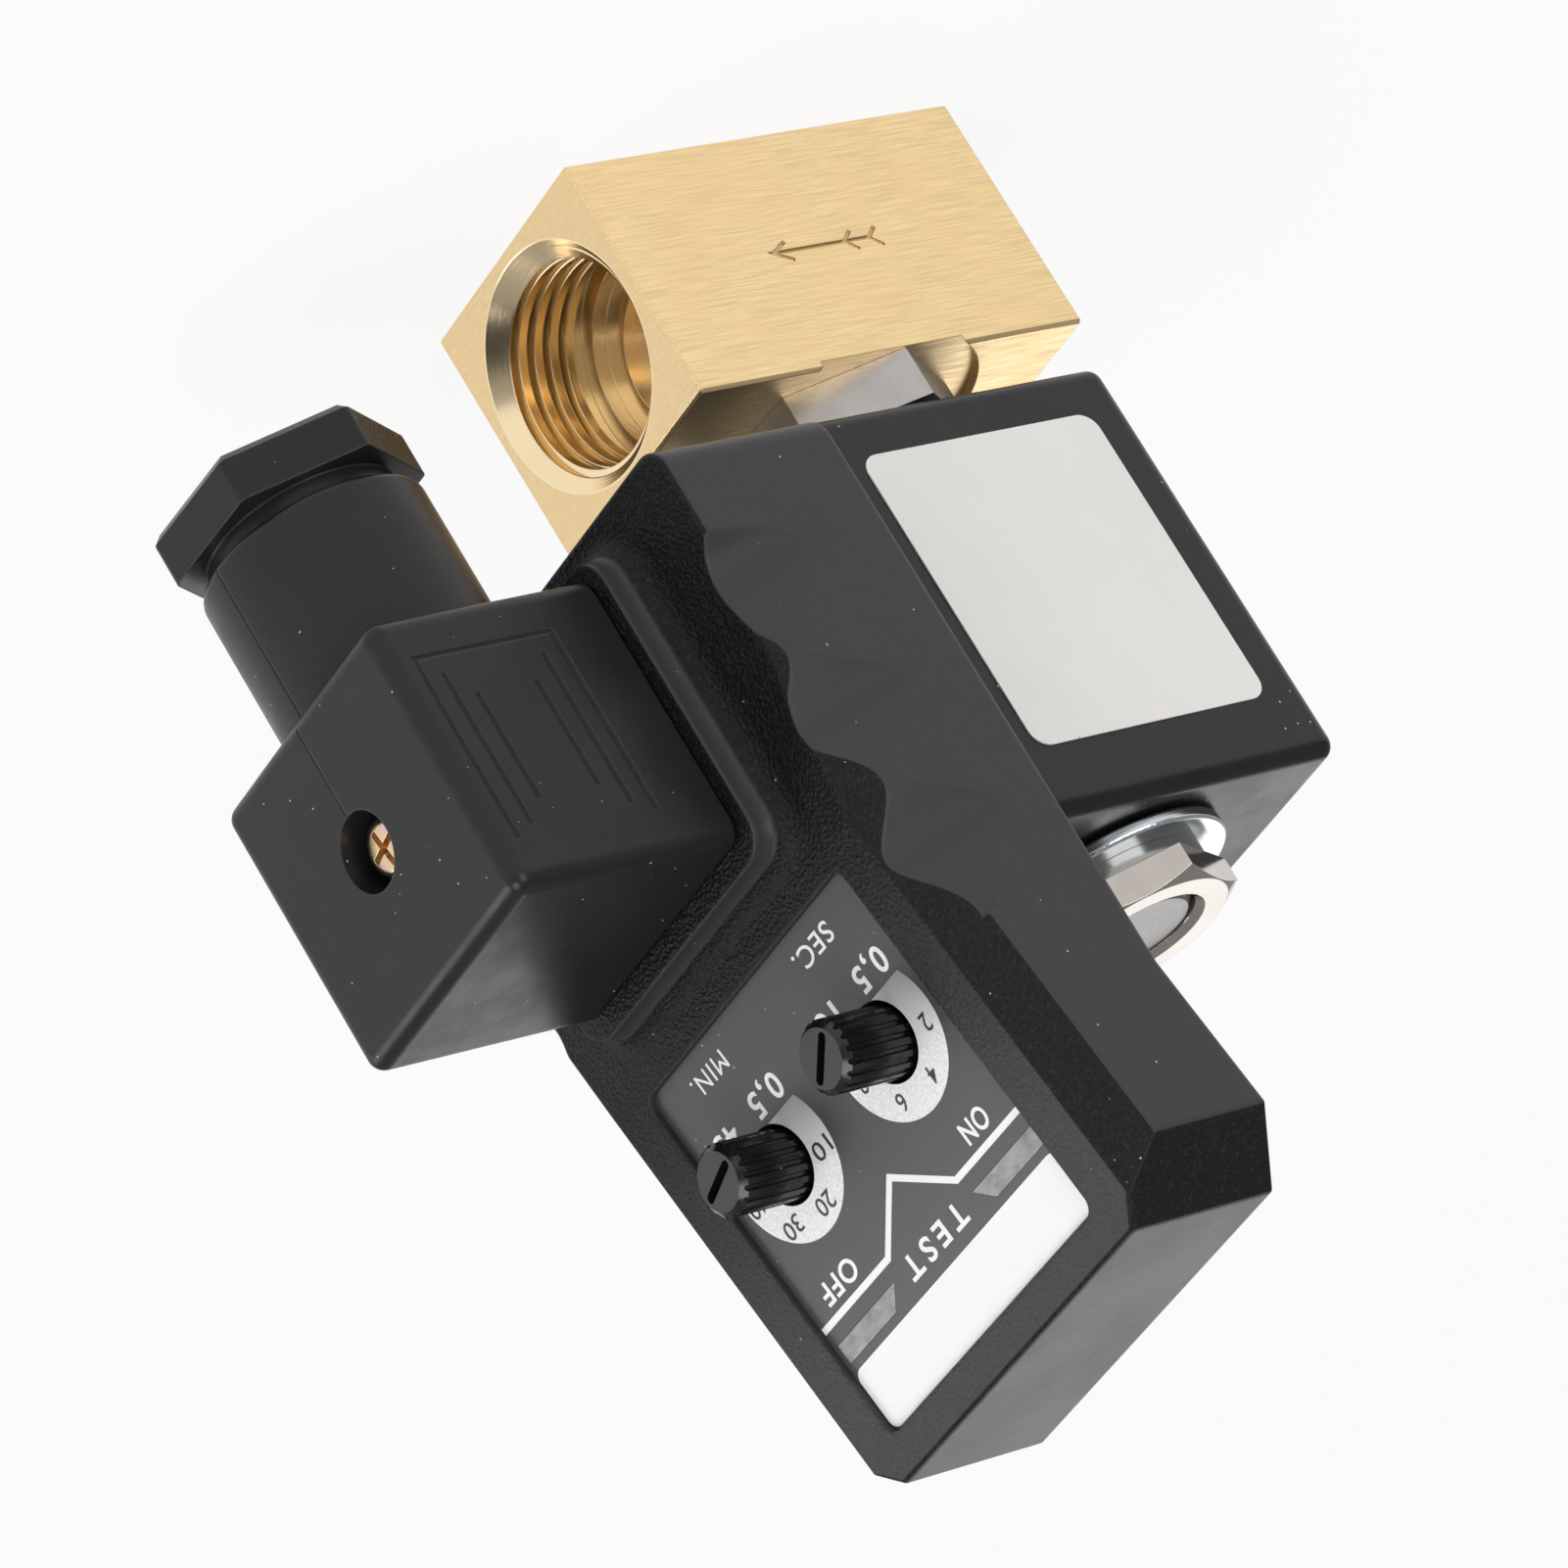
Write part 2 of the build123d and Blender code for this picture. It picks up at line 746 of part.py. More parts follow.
# Flat contacts of the coil
with BuildPart() as coil_terminals:
    with Locations(*blade_places(coil_blade_root)):
        Box(
            coil_blade_tip - coil_blade_root,
            blade_width,
            blade_thickness,
            align=(Align.MIN, Align.CENTER, Align.CENTER),
        )
coil_terminals.part.label = "coil_terminals"
export_step(coil_terminals.part, "parts/coil_terminals.step")

# Threaded brass insert in the coil that the long screw bites into
with BuildPart() as screw_insert:
    with BuildSketch(Plane.YZ.offset(insert_back)):
        with Locations((0, contact_height)):
            Circle(insert_radius)
            Circle(screw_radius + gap, mode=Mode.SUBTRACT)
    extrude(amount=coil_front + boss_height - insert_back - gap)
screw_insert.part.label = "screw_insert"
export_step(screw_insert.part, "parts/screw_insert.step")

# Moulded coil casing with the square boss for the timer
with BuildPart() as coil_casing:
    with Locations((coil_mid, 0, coil_bottom)):
        Box(coil_front - coil_back, coil_width, coil_height, align=LOW)
    fillet(coil_casing.edges(), coil_edge)
    with BuildSketch(Plane.YZ.offset(coil_front)):
        with Locations((0, contact_height)):
            RectangleRounded(boss_size, boss_size, boss_corner)
    extrude(amount=boss_height)
    with Locations((0, 0, coil_bottom)):
        Cylinder(coil_bore, coil_height, align=LOW, mode=Mode.SUBTRACT)
    with Locations((0, 0, spool_bottom)):
        Cylinder(spool_radius, spool_top - spool_bottom, align=LOW, mode=Mode.SUBTRACT)
    add(magnet_frame.part, mode=Mode.SUBTRACT)
    add(coil_terminals.part, mode=Mode.SUBTRACT)
    with Locations(Location((insert_back, 0, contact_height), (0, 90, 0))):
        Cylinder(insert_radius, coil_front, align=LOW, mode=Mode.SUBTRACT)
coil_casing.part.label = "coil_casing"
export_step(coil_casing.part, "parts/coil_casing.step")

# Paper label on the coil's face, left blank
with BuildPart() as coil_label:
    with BuildSketch(Plane(origin=(0, -coil_width / 2, 0), x_dir=(1, 0, 0), z_dir=(0, -1, 0))):
        with Locations((label_left + label_length / 2, label_low + label_height / 2)):
            RectangleRounded(label_length, label_height, label_corner)
    extrude(amount=label_thickness)
coil_label.part.label = "coil_label"
export_step(coil_label.part, "parts/coil_label.step")

# Flat gasket between coil and timer
with BuildPart() as coil_gasket:
    with BuildSketch(Plane.YZ.offset(coil_front + boss_height)):
        with Locations((0, contact_height)):
            RectangleRounded(boss_size, boss_size, boss_corner)
            Rectangle(boss_size - 2 * gasket_wall, boss_size - 2 * gasket_wall, mode=Mode.SUBTRACT)
    extrude(amount=module_back - coil_front - boss_height)
coil_gasket.part.label = "coil_gasket"
export_step(coil_gasket.part, "parts/coil_gasket.step")

# Timer housing, one moulding open at the back
cavity_block = module_block(module_wall, 1.0)
with BuildPart() as cavity:
    add(cavity_block)
    grip_top = plate_z + grip_start + grip_count * grip_pitch + 2
    strip = module_half - grip_depth - grip_wall
    for side in (1, -1):
        with Locations((module_front, side * strip, 0)):
            strip_align = (Align.MAX, Align.MIN if side > 0 else Align.MAX, Align.MIN)
            Box(grip_edge + grip_fade, module_half, grip_top, align=strip_align, mode=Mode.SUBTRACT)

with BuildPart() as timer_housing:
    add(module_block(0, 0))
    low_edges = timer_housing.edges().group_by(Axis.Z)[0]
    fillet(low_edges.filter_by(Axis.X), low_round)
    fillet(timer_housing.edges(), edge_round)
    # Finger grips: the wavy outline runs out to the side wall towards the back
    for side in (1, -1):
        wave = grip_points(side)
        with BuildSketch(rim_plane):
            with BuildLine():
                Spline(*wave)
                Line(wave[-1], (side * (module_half + 4), wave[-1][1]))
                Line((side * (module_half + 4), wave[-1][1]), (side * (module_half + 4), wave[0][1]))
                Line((side * (module_half + 4), wave[0][1]), wave[0])
            make_face()
        slope = grip_depth / grip_fade
        away = (-front_normal[0], side * slope, -front_normal[2])
        extrude(amount=grip_edge + grip_fade + 2, dir=away, mode=Mode.SUBTRACT)
    # Raised seat for the plug with a hollow round its foot
    with BuildSketch(Plane.YZ.offset(module_front)):
        with Locations((0, (platform_low + platform_high) / 2)):
            RectangleRounded(2 * platform_half, platform_high - platform_low, platform_corner)
    extrude(amount=platform_height)
    foot = timer_housing.edges(Select.LAST).filter_by_position(Axis.X, module_front - 0.01, module_front + 0.01)
    fillet(foot, cove_radius)
    add(cavity.part, mode=Mode.SUBTRACT)
    # Posts for the board
    for side in (1, -1):
        for across, height in ((post_low_half, post_low), (post_high_half, post_high)):
            with BuildSketch(Plane.YZ.offset(board_front)):
                with Locations((side * across, height)):
                    Circle(post_radius)
            front_wall = min(rim_x(height, module_wall / 2), module_front - module_wall / 2)
            extrude(amount=front_wall - board_front)
            with BuildSketch(Plane.YZ.offset(board_front)):
                with Locations((side * across, height)):
                    Circle(screw_core + gap)
            extrude(amount=screw_length - board_thickness, mode=Mode.SUBTRACT)
    # Sunk panel for the front film, with openings for knobs, lamps and button
    with BuildSketch(rim_plane):
        with Locations((0, plate_height / 2)):
            RectangleRounded(plate_width, plate_height, plate_corner)
    extrude(amount=-plate_sink - film, mode=Mode.SUBTRACT)
    for side in (1, -1):
        with Locations(Location((board_front, side * knob_spread, knob_height), (0, 90, 0))):
            Cylinder(knob_hole, module_front, align=LOW, mode=Mode.SUBTRACT)
        with BuildSketch(plate_plane):
            with Locations((side * lamp_offset, (window_low + window_high) / 2)):
                Rectangle(lamp_well, window_high - window_low)
        extrude(amount=-module_wall - plate_sink, mode=Mode.SUBTRACT)
    with Locations(Location((board_front, 0, button_height), (0, 90, 0))):
        Cylinder(button_radius + button_guide, module_front, align=LOW, mode=Mode.SUBTRACT)
    # Ways through for the contacts and the long screw
    with Locations(*blade_places(board_front)):
        Box(
            module_front,
            blade_width + 2 * gap,
            blade_thickness + 2 * gap,
            align=(Align.MIN, Align.CENTER, Align.CENTER),
            mode=Mode.SUBTRACT,
        )
    with Locations(Location((board_front, 0, contact_height), (0, 90, 0))):
        Cylinder(screw_hole, module_front, align=LOW, mode=Mode.SUBTRACT)
timer_housing.part.label = "timer_housing"
export_step(timer_housing.part, "parts/timer_housing.step")

# Back cover of the timer
with BuildPart() as timer_cover:
    add(module_block(module_wall + gap, 0))
    with BuildSketch(side_view):
        with BuildLine():
            Polyline(
                (module_back + cover_thickness, module_low),
                (module_front + 2, module_low),
                (module_front + 2, module_high),
                (module_back + cover_thickness - lean_depth, module_high),
                (module_back + cover_thickness, lean_start),
                close=True,
            )
        make_face()
    extrude(amount=module_half, both=True, mode=Mode.SUBTRACT)
    with Locations(*blade_places(module_back - 1)):
        Box(
            cover_thickness + 2,
            blade_width + 6 * gap,
            blade_thickness + 6 * gap,
            align=(Align.MIN, Align.CENTER, Align.CENTER),
            mode=Mode.SUBTRACT,
        )
    with Locations(Location((module_back - 1, 0, contact_height), (0, 90, 0))):
        Cylinder(screw_hole, cover_thickness + 2, align=LOW, mode=Mode.SUBTRACT)
timer_cover.part.label = "timer_cover"
export_step(timer_cover.part, "parts/timer_cover.step")

# Printed film on the front
with BuildPart() as front_film:
    with BuildSketch(back_of_film):
        with Locations((0, plate_height / 2)):
            RectangleRounded(plate_width - 2 * gap, plate_height - 2 * gap, plate_corner - gap)
        for side in (1, -1):
            with BuildLine():
                Polyline(*window_outline(side, gap), close=True)
            make_face(mode=Mode.SUBTRACT)
    extrude(amount=film)
    for side in (1, -1):
        with Locations(Location((board_front, side * knob_spread, knob_height), (0, 90, 0))):
            Cylinder(knob_hole, module_front, align=LOW, mode=Mode.SUBTRACT)
front_film.part.label = "front_film"
export_step(front_film.part, "parts/front_film.step")

# Clear windows for the two lamps
with BuildPart() as lamp_windows:
    for side in (1, -1):
        with BuildSketch(back_of_film):
            with BuildLine():
                Polyline(*window_outline(side, 0), close=True)
            make_face()
        extrude(amount=film)
lamp_windows.part.label = "lamp_windows"
export_step(lamp_windows.part, "parts/lamp_windows.step")

# Circuit board
with BuildPart() as circuit_board:
    with BuildSketch(Plane.YZ.offset(board_back)):
        with Locations((0, (board_low + board_high) / 2)):
            Rectangle(2 * board_half, board_high - board_low)
    extrude(amount=board_thickness)
    chamfer(circuit_board.edges().filter_by(Axis.X).group_by(Axis.Z)[-1], board_corner)
    with Locations(Location((board_back, 0, contact_height), (0, 90, 0))):
        Cylinder(screw_hole, board_thickness, align=LOW, mode=Mode.SUBTRACT)
    for side in (1, -1):
        for across, height in ((post_low_half, post_low), (post_high_half, post_high)):
            with Locations(Location((board_back, side * across, height), (0, 90, 0))):
                Cylinder(screw_core + 3 * gap, board_thickness, align=LOW, mode=Mode.SUBTRACT)
circuit_board.part.label = "circuit_board"
export_step(circuit_board.part, "parts/circuit_board.step")

# Small screws that hold the board to its posts
with BuildPart() as board_screws:
    for side in (1, -1):
        for across, height in ((post_low_half, post_low), (post_high_half, post_high)):
            with Locations(Location((board_back - small_head_height, side * across, height), (0, 90, 0))):
                Cylinder(small_head_radius, small_head_height, align=LOW)
                Cylinder(screw_core, small_head_height + screw_length - gap, align=LOW)
board_screws.part.label = "board_screws"
export_step(board_screws.part, "parts/board_screws.step")

# Sockets behind the board that take the coil's contacts
with BuildPart() as timer_sockets:
    socket_back = module_back + cover_thickness + gap
    with Locations(*blade_places(socket_back)):
        Box(
            board_back - socket_back,
            blade_width + 2 * sleeve_wall,
            blade_thickness + 2 * sleeve_wall,
            align=(Align.MIN, Align.CENTER, Align.CENTER),
        )
        Box(
            board_back - socket_back,
            blade_width + 2 * gap,
            blade_thickness + 2 * gap,
            align=(Align.MIN, Align.CENTER, Align.CENTER),
            mode=Mode.SUBTRACT,
        )
timer_sockets.part.label = "timer_sockets"
export_step(timer_sockets.part, "parts/timer_sockets.step")

# Contacts from the board out to the plug
with BuildPart() as timer_blades:
    with Locations(*blade_places(board_front)):
        Box(
            timer_blade_tip - board_front,
            blade_width,
            blade_thickness,
            align=(Align.MIN, Align.CENTER, Align.CENTER),
        )
timer_blades.part.label = "timer_blades"
export_step(timer_blades.part, "parts/timer_blades.step")

# Parts of the timing circuit on the board
with BuildPart() as supply_capacitor:
    with Locations((board_front, capacitor_width / 2 - post_low_half - small_head_radius, circuit_height)):
        Box(capacitor_depth, capacitor_width, capacitor_height, align=(Align.MIN, Align.CENTER, Align.CENTER))
    fillet(supply_capacitor.edges().filter_by(Axis.X), capacitor_round)
supply_capacitor.part.label = "supply_capacitor"
export_step(supply_capacitor.part, "parts/supply_capacitor.step")

with BuildPart() as timing_chip:
    with Locations((board_front, 0, plate_z + chip_lift)):
        Box(chip_depth, chip_width, chip_height, align=(Align.MIN, Align.CENTER, Align.CENTER))
    chamfer(timing_chip.faces().sort_by(Axis.X)[-1].edges(), chip_edge)
timing_chip.part.label = "timing_chip"
export_step(timing_chip.part, "parts/timing_chip.step")

with BuildPart() as power_switch:
    with Locations((board_front, board_half - switch_tab_width / 2 - gap, circuit_height + switch_lift)):
        Box(switch_body_depth, switch_tab_width, switch_body_height, align=(Align.MIN, Align.CENTER, Align.CENTER))
        Box(switch_tab_depth, switch_tab_width, switch_tab_height, align=(Align.MIN, Align.CENTER, Align.CENTER))
power_switch.part.label = "power_switch"
export_step(power_switch.part, "parts/power_switch.step")

# Two rotary resistors behind the knobs
with BuildPart() as rotary_resistors:
    for side in (1, -1):
        with Locations((board_front, side * knob_spread, knob_height)):
            Box(pot_height, pot_size, pot_size, align=(Align.MIN, Align.CENTER, Align.CENTER))
        with Locations(Location((board_front + pot_floor, side * knob_spread, knob_height), (0, 90, 0))):
            Cylinder(rotor_radius + rotor_play, rotor_thickness + 2 * rotor_play, align=LOW, mode=Mode.SUBTRACT)
            Cylinder(neck_radius + gap, pot_height, align=LOW, mode=Mode.SUBTRACT)
rotary_resistors.part.label = "rotary_resistors"
export_step(rotary_resistors.part, "parts/rotary_resistors.step")

# Fluted knobs, each in one piece with its rotor
rotor_back = board_front + pot_floor + rotor_play
head_back = pot_front + rotor_play


def knob_plane(x, side, turn):
    """Plane across a knob, turned with its slot."""
    across = (0, cos(radians(turn)), sin(radians(turn)))
    return Plane(origin=(x, side * knob_spread, knob_height), x_dir=across, z_dir=(1, 0, 0))


def knob(side, turn):
    """One knob with a slotted end, its neck and its rotor."""
    with BuildPart() as piece:
        with BuildSketch(knob_plane(rotor_back, side, turn)):
            Circle(rotor_radius)
        extrude(amount=rotor_thickness)
        with BuildSketch(knob_plane(rotor_back, side, turn)):
            Circle(neck_radius)
        extrude(amount=head_back - rotor_back)
        with BuildSketch(knob_plane(head_back, side, turn)):
            Circle(knob_radius)
        extrude(amount=knob_tip - head_back)
        chamfer(piece.faces().sort_by(Axis.X)[-1].edges(), knob_chamfer)
        with BuildSketch(knob_plane(head_back, side, turn)):
            with PolarLocations(knob_radius, flute_count):
                Circle(flute_radius)
        extrude(amount=knob_tip - head_back, mode=Mode.SUBTRACT)
        with BuildSketch(knob_plane(knob_tip, side, turn)):
            SlotOverall(knob_slot_length, knob_slot_width)
        extrude(amount=-knob_slot_depth, mode=Mode.SUBTRACT)
    return piece.part


with BuildPart() as knob_seconds:
    add(knob(-1, seconds_turn))
knob_seconds.part.label = "knob_seconds"
export_step(knob_seconds.part, "parts/knob_seconds.step")

with BuildPart() as knob_minutes:
    add(knob(1, minutes_turn))
knob_minutes.part.label = "knob_minutes"
export_step(knob_minutes.part, "parts/knob_minutes.step")

# Push switch on the board and the button over it, under the film
with BuildPart() as test_switch:
    with Locations((board_front, 0, button_height)):
        Box(switch_height, switch_size, switch_size, align=(Align.MIN, Align.CENTER, Align.CENTER))
    with Locations(Location((board_front + switch_height, 0, button_height), (0, 90, 0))):
        Cylinder(switch_dome_radius, switch_dome_height, align=LOW)
test_switch.part.label = "test_switch"
export_step(test_switch.part, "parts/test_switch.step")

with BuildPart() as test_button:
    with Locations(Location((button_rest, 0, button_height), (0, 90, 0))):
        Cylinder(button_radius, module_front - button_rest, align=LOW)
        Cylinder(button_collar, button_collar_thickness, align=LOW)
    split(bisect_by=back_of_film.offset(-button_film_gap), keep=Keep.BOTTOM)
test_button.part.label = "test_button"
export_step(test_button.part, "parts/test_button.step")

# Two lamps that shine through the windows
with BuildPart() as indicator_lamps:
    for side in (1, -1):
        lamp_z = plate_z + (window_low + window_high) / 2 * cos(tilt)
        with Locations(Location((board_front, side * lamp_offset, lamp_z), (0, 90, 0))):
            Cylinder(lamp_radius, lamp_length - lamp_radius, align=LOW)
        with Locations((board_front + lamp_length - lamp_radius, side * lamp_offset, lamp_z)):
            Sphere(lamp_radius)
indicator_lamps.part.label = "indicator_lamps"
export_step(indicator_lamps.part, "parts/indicator_lamps.step")

# Gasket between timer and plug
plug_opening = Vector(2 * (plug_half - plug_wall), plug_height - 2 * plug_wall)
with BuildPart() as plug_gasket:
    with BuildSketch(Plane.YZ.offset(platform_front)):
        with Locations((0, plug_mid_z)):
            RectangleRounded(2 * plug_half - 0.8, plug_height - 0.8, plug_edge)
            Rectangle(plug_opening.X, plug_opening.Y, mode=Mode.SUBTRACT)
    extrude(amount=plug_gap)
plug_gasket.part.label = "plug_gasket"
export_step(plug_gasket.part, "parts/plug_gasket.step")

# Plug housing with the neck of the cable gland
with BuildPart() as plug_housing:
    with BuildSketch(Plane.YZ.offset(plug_back)):
        with Locations((0, plug_mid_z)):
            RectangleRounded(2 * plug_half, plug_height, plug_edge)
    extrude(amount=plug_depth)
    fillet(plug_housing.faces().sort_by(Axis.X)[-1].edges(), plug_edge)
    with BuildSketch(Plane.XY.offset(neck_end)):
        with Locations((plug_mid, 0)):
            Circle(neck_half)
    extrude(amount=plug_low + plug_wall - neck_end)
    fillet(plug_housing.faces().sort_by(Axis.Z)[0].edges(), neck_round)
    with BuildSketch(Plane.YZ.offset(plug_back)):
        with Locations((0, plug_mid_z)):
            Rectangle(plug_opening.X, plug_opening.Y)
    extrude(amount=plug_depth - plug_front_wall, mode=Mode.SUBTRACT)
    with Locations((plug_mid, 0, neck_end)):
        Cylinder(gland_bore + gap, gland_stop - neck_end, align=LOW, mode=Mode.SUBTRACT)
        Cylinder(gland_throat, plug_low + plug_wall - neck_end, align=LOW, mode=Mode.SUBTRACT)
    # Boss and well for the long screw
    with Locations(Location((block_front + gap, 0, contact_height), (0, 90, 0))):
        Cylinder(screw_well_radius + 1.2, plug_front - plug_front_wall - block_front, align=LOW)
    with Locations(Location((well_floor, 0, contact_height), (0, 90, 0))):
        Cylinder(screw_well_radius, plug_depth, align=LOW, mode=Mode.SUBTRACT)
    with Locations(Location((block_front, 0, contact_height), (0, 90, 0))):
        Cylinder(screw_hole, plug_depth, align=LOW, mode=Mode.SUBTRACT)
    # Mould seam down the neck and the front face
    with Locations((plug_front, 0, contact_height)):
        Box(2 * seam_depth, seam_width, plug_height, align=(Align.CENTER, Align.CENTER, Align.MAX), mode=Mode.SUBTRACT)
    with Locations((plug_mid + neck_half, 0, plug_low)):
        Box(2 * seam_depth, seam_width, plug_low - neck_end, align=(Align.CENTER, Align.CENTER, Align.MAX),
            mode=Mode.SUBTRACT)
    # Relief lines on the side, an open frame round four bars
    with BuildSketch(Plane(origin=(relief_mid, -plug_half, 0), x_dir=(1, 0, 0), z_dir=(0, -1, 0))):
        with BuildLine():
            Polyline(
                (-relief_half, relief_high),
                (-relief_half, relief_low),
                (relief_half, relief_low),
                (relief_half, relief_high),
            )
        trace(line_width=relief_line)
        for side in (1, -1):
            for across, low, high in (
                (relief_long_half, relief_long_low, relief_long_high),
                (relief_short_half, relief_short_low, relief_short_high),
            ):
                with Locations((side * across, (low + high) / 2)):
                    Rectangle(relief_line, high - low)
    extrude(amount=-relief_depth, mode=Mode.SUBTRACT)
plug_housing.part.label = "plug_housing"
export_step(plug_housing.part, "parts/plug_housing.step")

# Terminal block inside the plug
block_back = plug_back + gap
with BuildPart() as terminal_block:
    with BuildSketch(Plane.YZ.offset(block_back)):
        with Locations((0, plug_mid_z)):
            Rectangle(plug_opening.X - 2 * gap, plug_opening.Y - 2 * gap)
    extrude(amount=block_front - block_back)
    with Locations(*blade_places(block_back)):
        Box(
            sleeve_front + gap - block_back,
            blade_width + 2 * sleeve_wall + 2 * gap,
            blade_thickness + 2 * sleeve_wall + 2 * gap,
            align=(Align.MIN, Align.CENTER, Align.CENTER),
            mode=Mode.SUBTRACT,
        )
        with Locations(Location((0, 0, 0), (0, 90, 0))):
            Cylinder(terminal_screw_radius + gap, block_front, align=LOW, mode=Mode.SUBTRACT)
    with Locations(Location((block_back, 0, contact_height), (0, 90, 0))):
        Cylinder(screw_hole, block_front, align=LOW, mode=Mode.SUBTRACT)
terminal_block.part.label = "terminal_block"
export_step(terminal_block.part, "parts/terminal_block.step")

# Contact sleeves and their clamp screws
with BuildPart() as contact_sleeves:
    with Locations(*blade_places(block_back)):
        Box(
            sleeve_front - block_back,
            blade_width + 2 * sleeve_wall,
            blade_thickness + 2 * sleeve_wall,
            align=(Align.MIN, Align.CENTER, Align.CENTER),
        )
        Box(
            timer_blade_tip + gap - block_back,
            blade_width + 2 * gap,
            blade_thickness + 2 * gap,
            align=(Align.MIN, Align.CENTER, Align.CENTER),
            mode=Mode.SUBTRACT,
        )
contact_sleeves.part.label = "contact_sleeves"
export_step(contact_sleeves.part, "parts/contact_sleeves.step")

with BuildPart() as terminal_screws:
    with Locations(*blade_places(sleeve_front + gap)):
        with Locations(Location((0, 0, 0), (0, 90, 0))):
            Cylinder(terminal_screw_radius, block_front - sleeve_front - gap, align=LOW)
    with Locations(*blade_places(block_front)):
        Box(
            1.2,
            3 * terminal_screw_radius,
            0.5,
            align=(Align.CENTER, Align.CENTER, Align.CENTER),
            mode=Mode.SUBTRACT,
        )
terminal_screws.part.label = "terminal_screws"
export_step(terminal_screws.part, "parts/terminal_screws.step")

# Long screw through plug, timer and coil
with BuildPart() as fixing_screw:
    with Locations(Location((screw_tip, 0, contact_height), (0, 90, 0))):
        Cylinder(screw_radius, well_floor - screw_tip, align=LOW)
    with Locations(Location((well_floor, 0, contact_height), (0, 90, 0))):
        Cylinder(screw_head_radius, screw_head_height, align=LOW)
    fillet(fixing_screw.faces().sort_by(Axis.X)[-1].edges(), screw_head_height / 2)
    with BuildSketch(Plane.YZ.offset(well_floor + screw_head_height)):
        with Locations((0, contact_height)):
            for turn in (10, 100):
                Rectangle(1.25 * screw_head_radius, 0.62, rotation=turn)
    extrude(amount=-0.6 * screw_head_height, taper=12, mode=Mode.SUBTRACT)
fixing_screw.part.label = "fixing_screw"
export_step(fixing_screw.part, "parts/fixing_screw.step")

# Cable gland: nut, washer and rubber seal
with BuildPart() as gland_nut:
    with BuildSketch(Plane.XY.offset(gland_end)):
        with Locations((plug_mid, 0)):
            RegularPolygon(gland_flats / 2, 6, major_radius=False, rotation=gland_turn)
    extrude(amount=gland_hex_height)
    fillet(gland_nut.edges().filter_by(Axis.Z), gland_bevel)
    chamfer(gland_nut.faces().sort_by(Axis.Z)[0].edges(), gland_bevel)
    with Locations((plug_mid, 0, gland_hex_top)):
        Cylinder(gland_bore, gland_spigot, align=LOW)
    with Locations((plug_mid, 0, gland_end)):
        Cylinder(cable_radius, plug_height, align=LOW, mode=Mode.SUBTRACT)
    mouth_edge = gland_nut.faces().sort_by(Axis.Z)[0].inner_wires()[0].edges()
    chamfer(mouth_edge, gland_bevel)
gland_nut.part.label = "gland_nut"
export_step(gland_nut.part, "parts/gland_nut.step")

with BuildPart() as gland_washer:
    with BuildSketch(Plane.XY.offset(gland_spigot_top)):
        with Locations((plug_mid, 0)):
            Circle(gland_bore - gap)
            Circle(cable_radius + gap, mode=Mode.SUBTRACT)
    extrude(amount=gland_washer_thickness)
gland_washer.part.label = "gland_washer"
export_step(gland_washer.part, "parts/gland_washer.step")

with BuildPart() as gland_seal:
    with BuildSketch(Plane.XY.offset(gland_spigot_top + gland_washer_thickness)):
        with Locations((plug_mid, 0)):
            Circle(gland_bore - gap)
            Circle(cable_radius + gap, mode=Mode.SUBTRACT)
    extrude(amount=gland_stop - gland_spigot_top - gland_washer_thickness)
gland_seal.part.label = "gland_seal"
export_step(gland_seal.part, "parts/gland_seal.step")
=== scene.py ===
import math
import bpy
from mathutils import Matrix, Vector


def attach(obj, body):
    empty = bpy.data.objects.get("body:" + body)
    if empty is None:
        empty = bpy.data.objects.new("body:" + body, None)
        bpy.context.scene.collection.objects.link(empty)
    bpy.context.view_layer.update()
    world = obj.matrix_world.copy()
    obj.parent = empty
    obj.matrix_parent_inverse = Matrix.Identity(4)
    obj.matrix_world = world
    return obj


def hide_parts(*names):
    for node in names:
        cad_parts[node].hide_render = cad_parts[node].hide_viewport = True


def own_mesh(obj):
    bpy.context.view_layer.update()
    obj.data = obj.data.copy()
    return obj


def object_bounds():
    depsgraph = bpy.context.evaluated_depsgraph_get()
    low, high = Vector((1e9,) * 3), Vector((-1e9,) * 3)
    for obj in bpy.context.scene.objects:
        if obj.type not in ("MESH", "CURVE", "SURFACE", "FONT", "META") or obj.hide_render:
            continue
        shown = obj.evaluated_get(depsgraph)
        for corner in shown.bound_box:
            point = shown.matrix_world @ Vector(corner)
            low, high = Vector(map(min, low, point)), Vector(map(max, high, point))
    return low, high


bl_info = {
    "name": "Automatic drain valve",
    "version": (1, 0, 0),
    "blender": (4, 5, 0),
    "location": "View3D > Sidebar > Drain Valve",
    "description": "Finishes the packed drain valve: print, materials, stage and camera",
    "category": "Add Mesh",
}

import bmesh
import bpy
from bpy.props import FloatProperty, FloatVectorProperty, PointerProperty
from mathutils import Matrix, Vector

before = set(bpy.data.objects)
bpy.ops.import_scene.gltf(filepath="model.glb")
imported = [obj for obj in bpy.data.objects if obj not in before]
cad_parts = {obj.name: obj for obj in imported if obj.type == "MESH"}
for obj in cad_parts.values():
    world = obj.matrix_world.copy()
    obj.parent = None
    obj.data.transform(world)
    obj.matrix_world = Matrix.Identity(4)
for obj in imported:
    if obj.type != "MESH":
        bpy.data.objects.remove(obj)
cad_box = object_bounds()

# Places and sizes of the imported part, in metres and radians

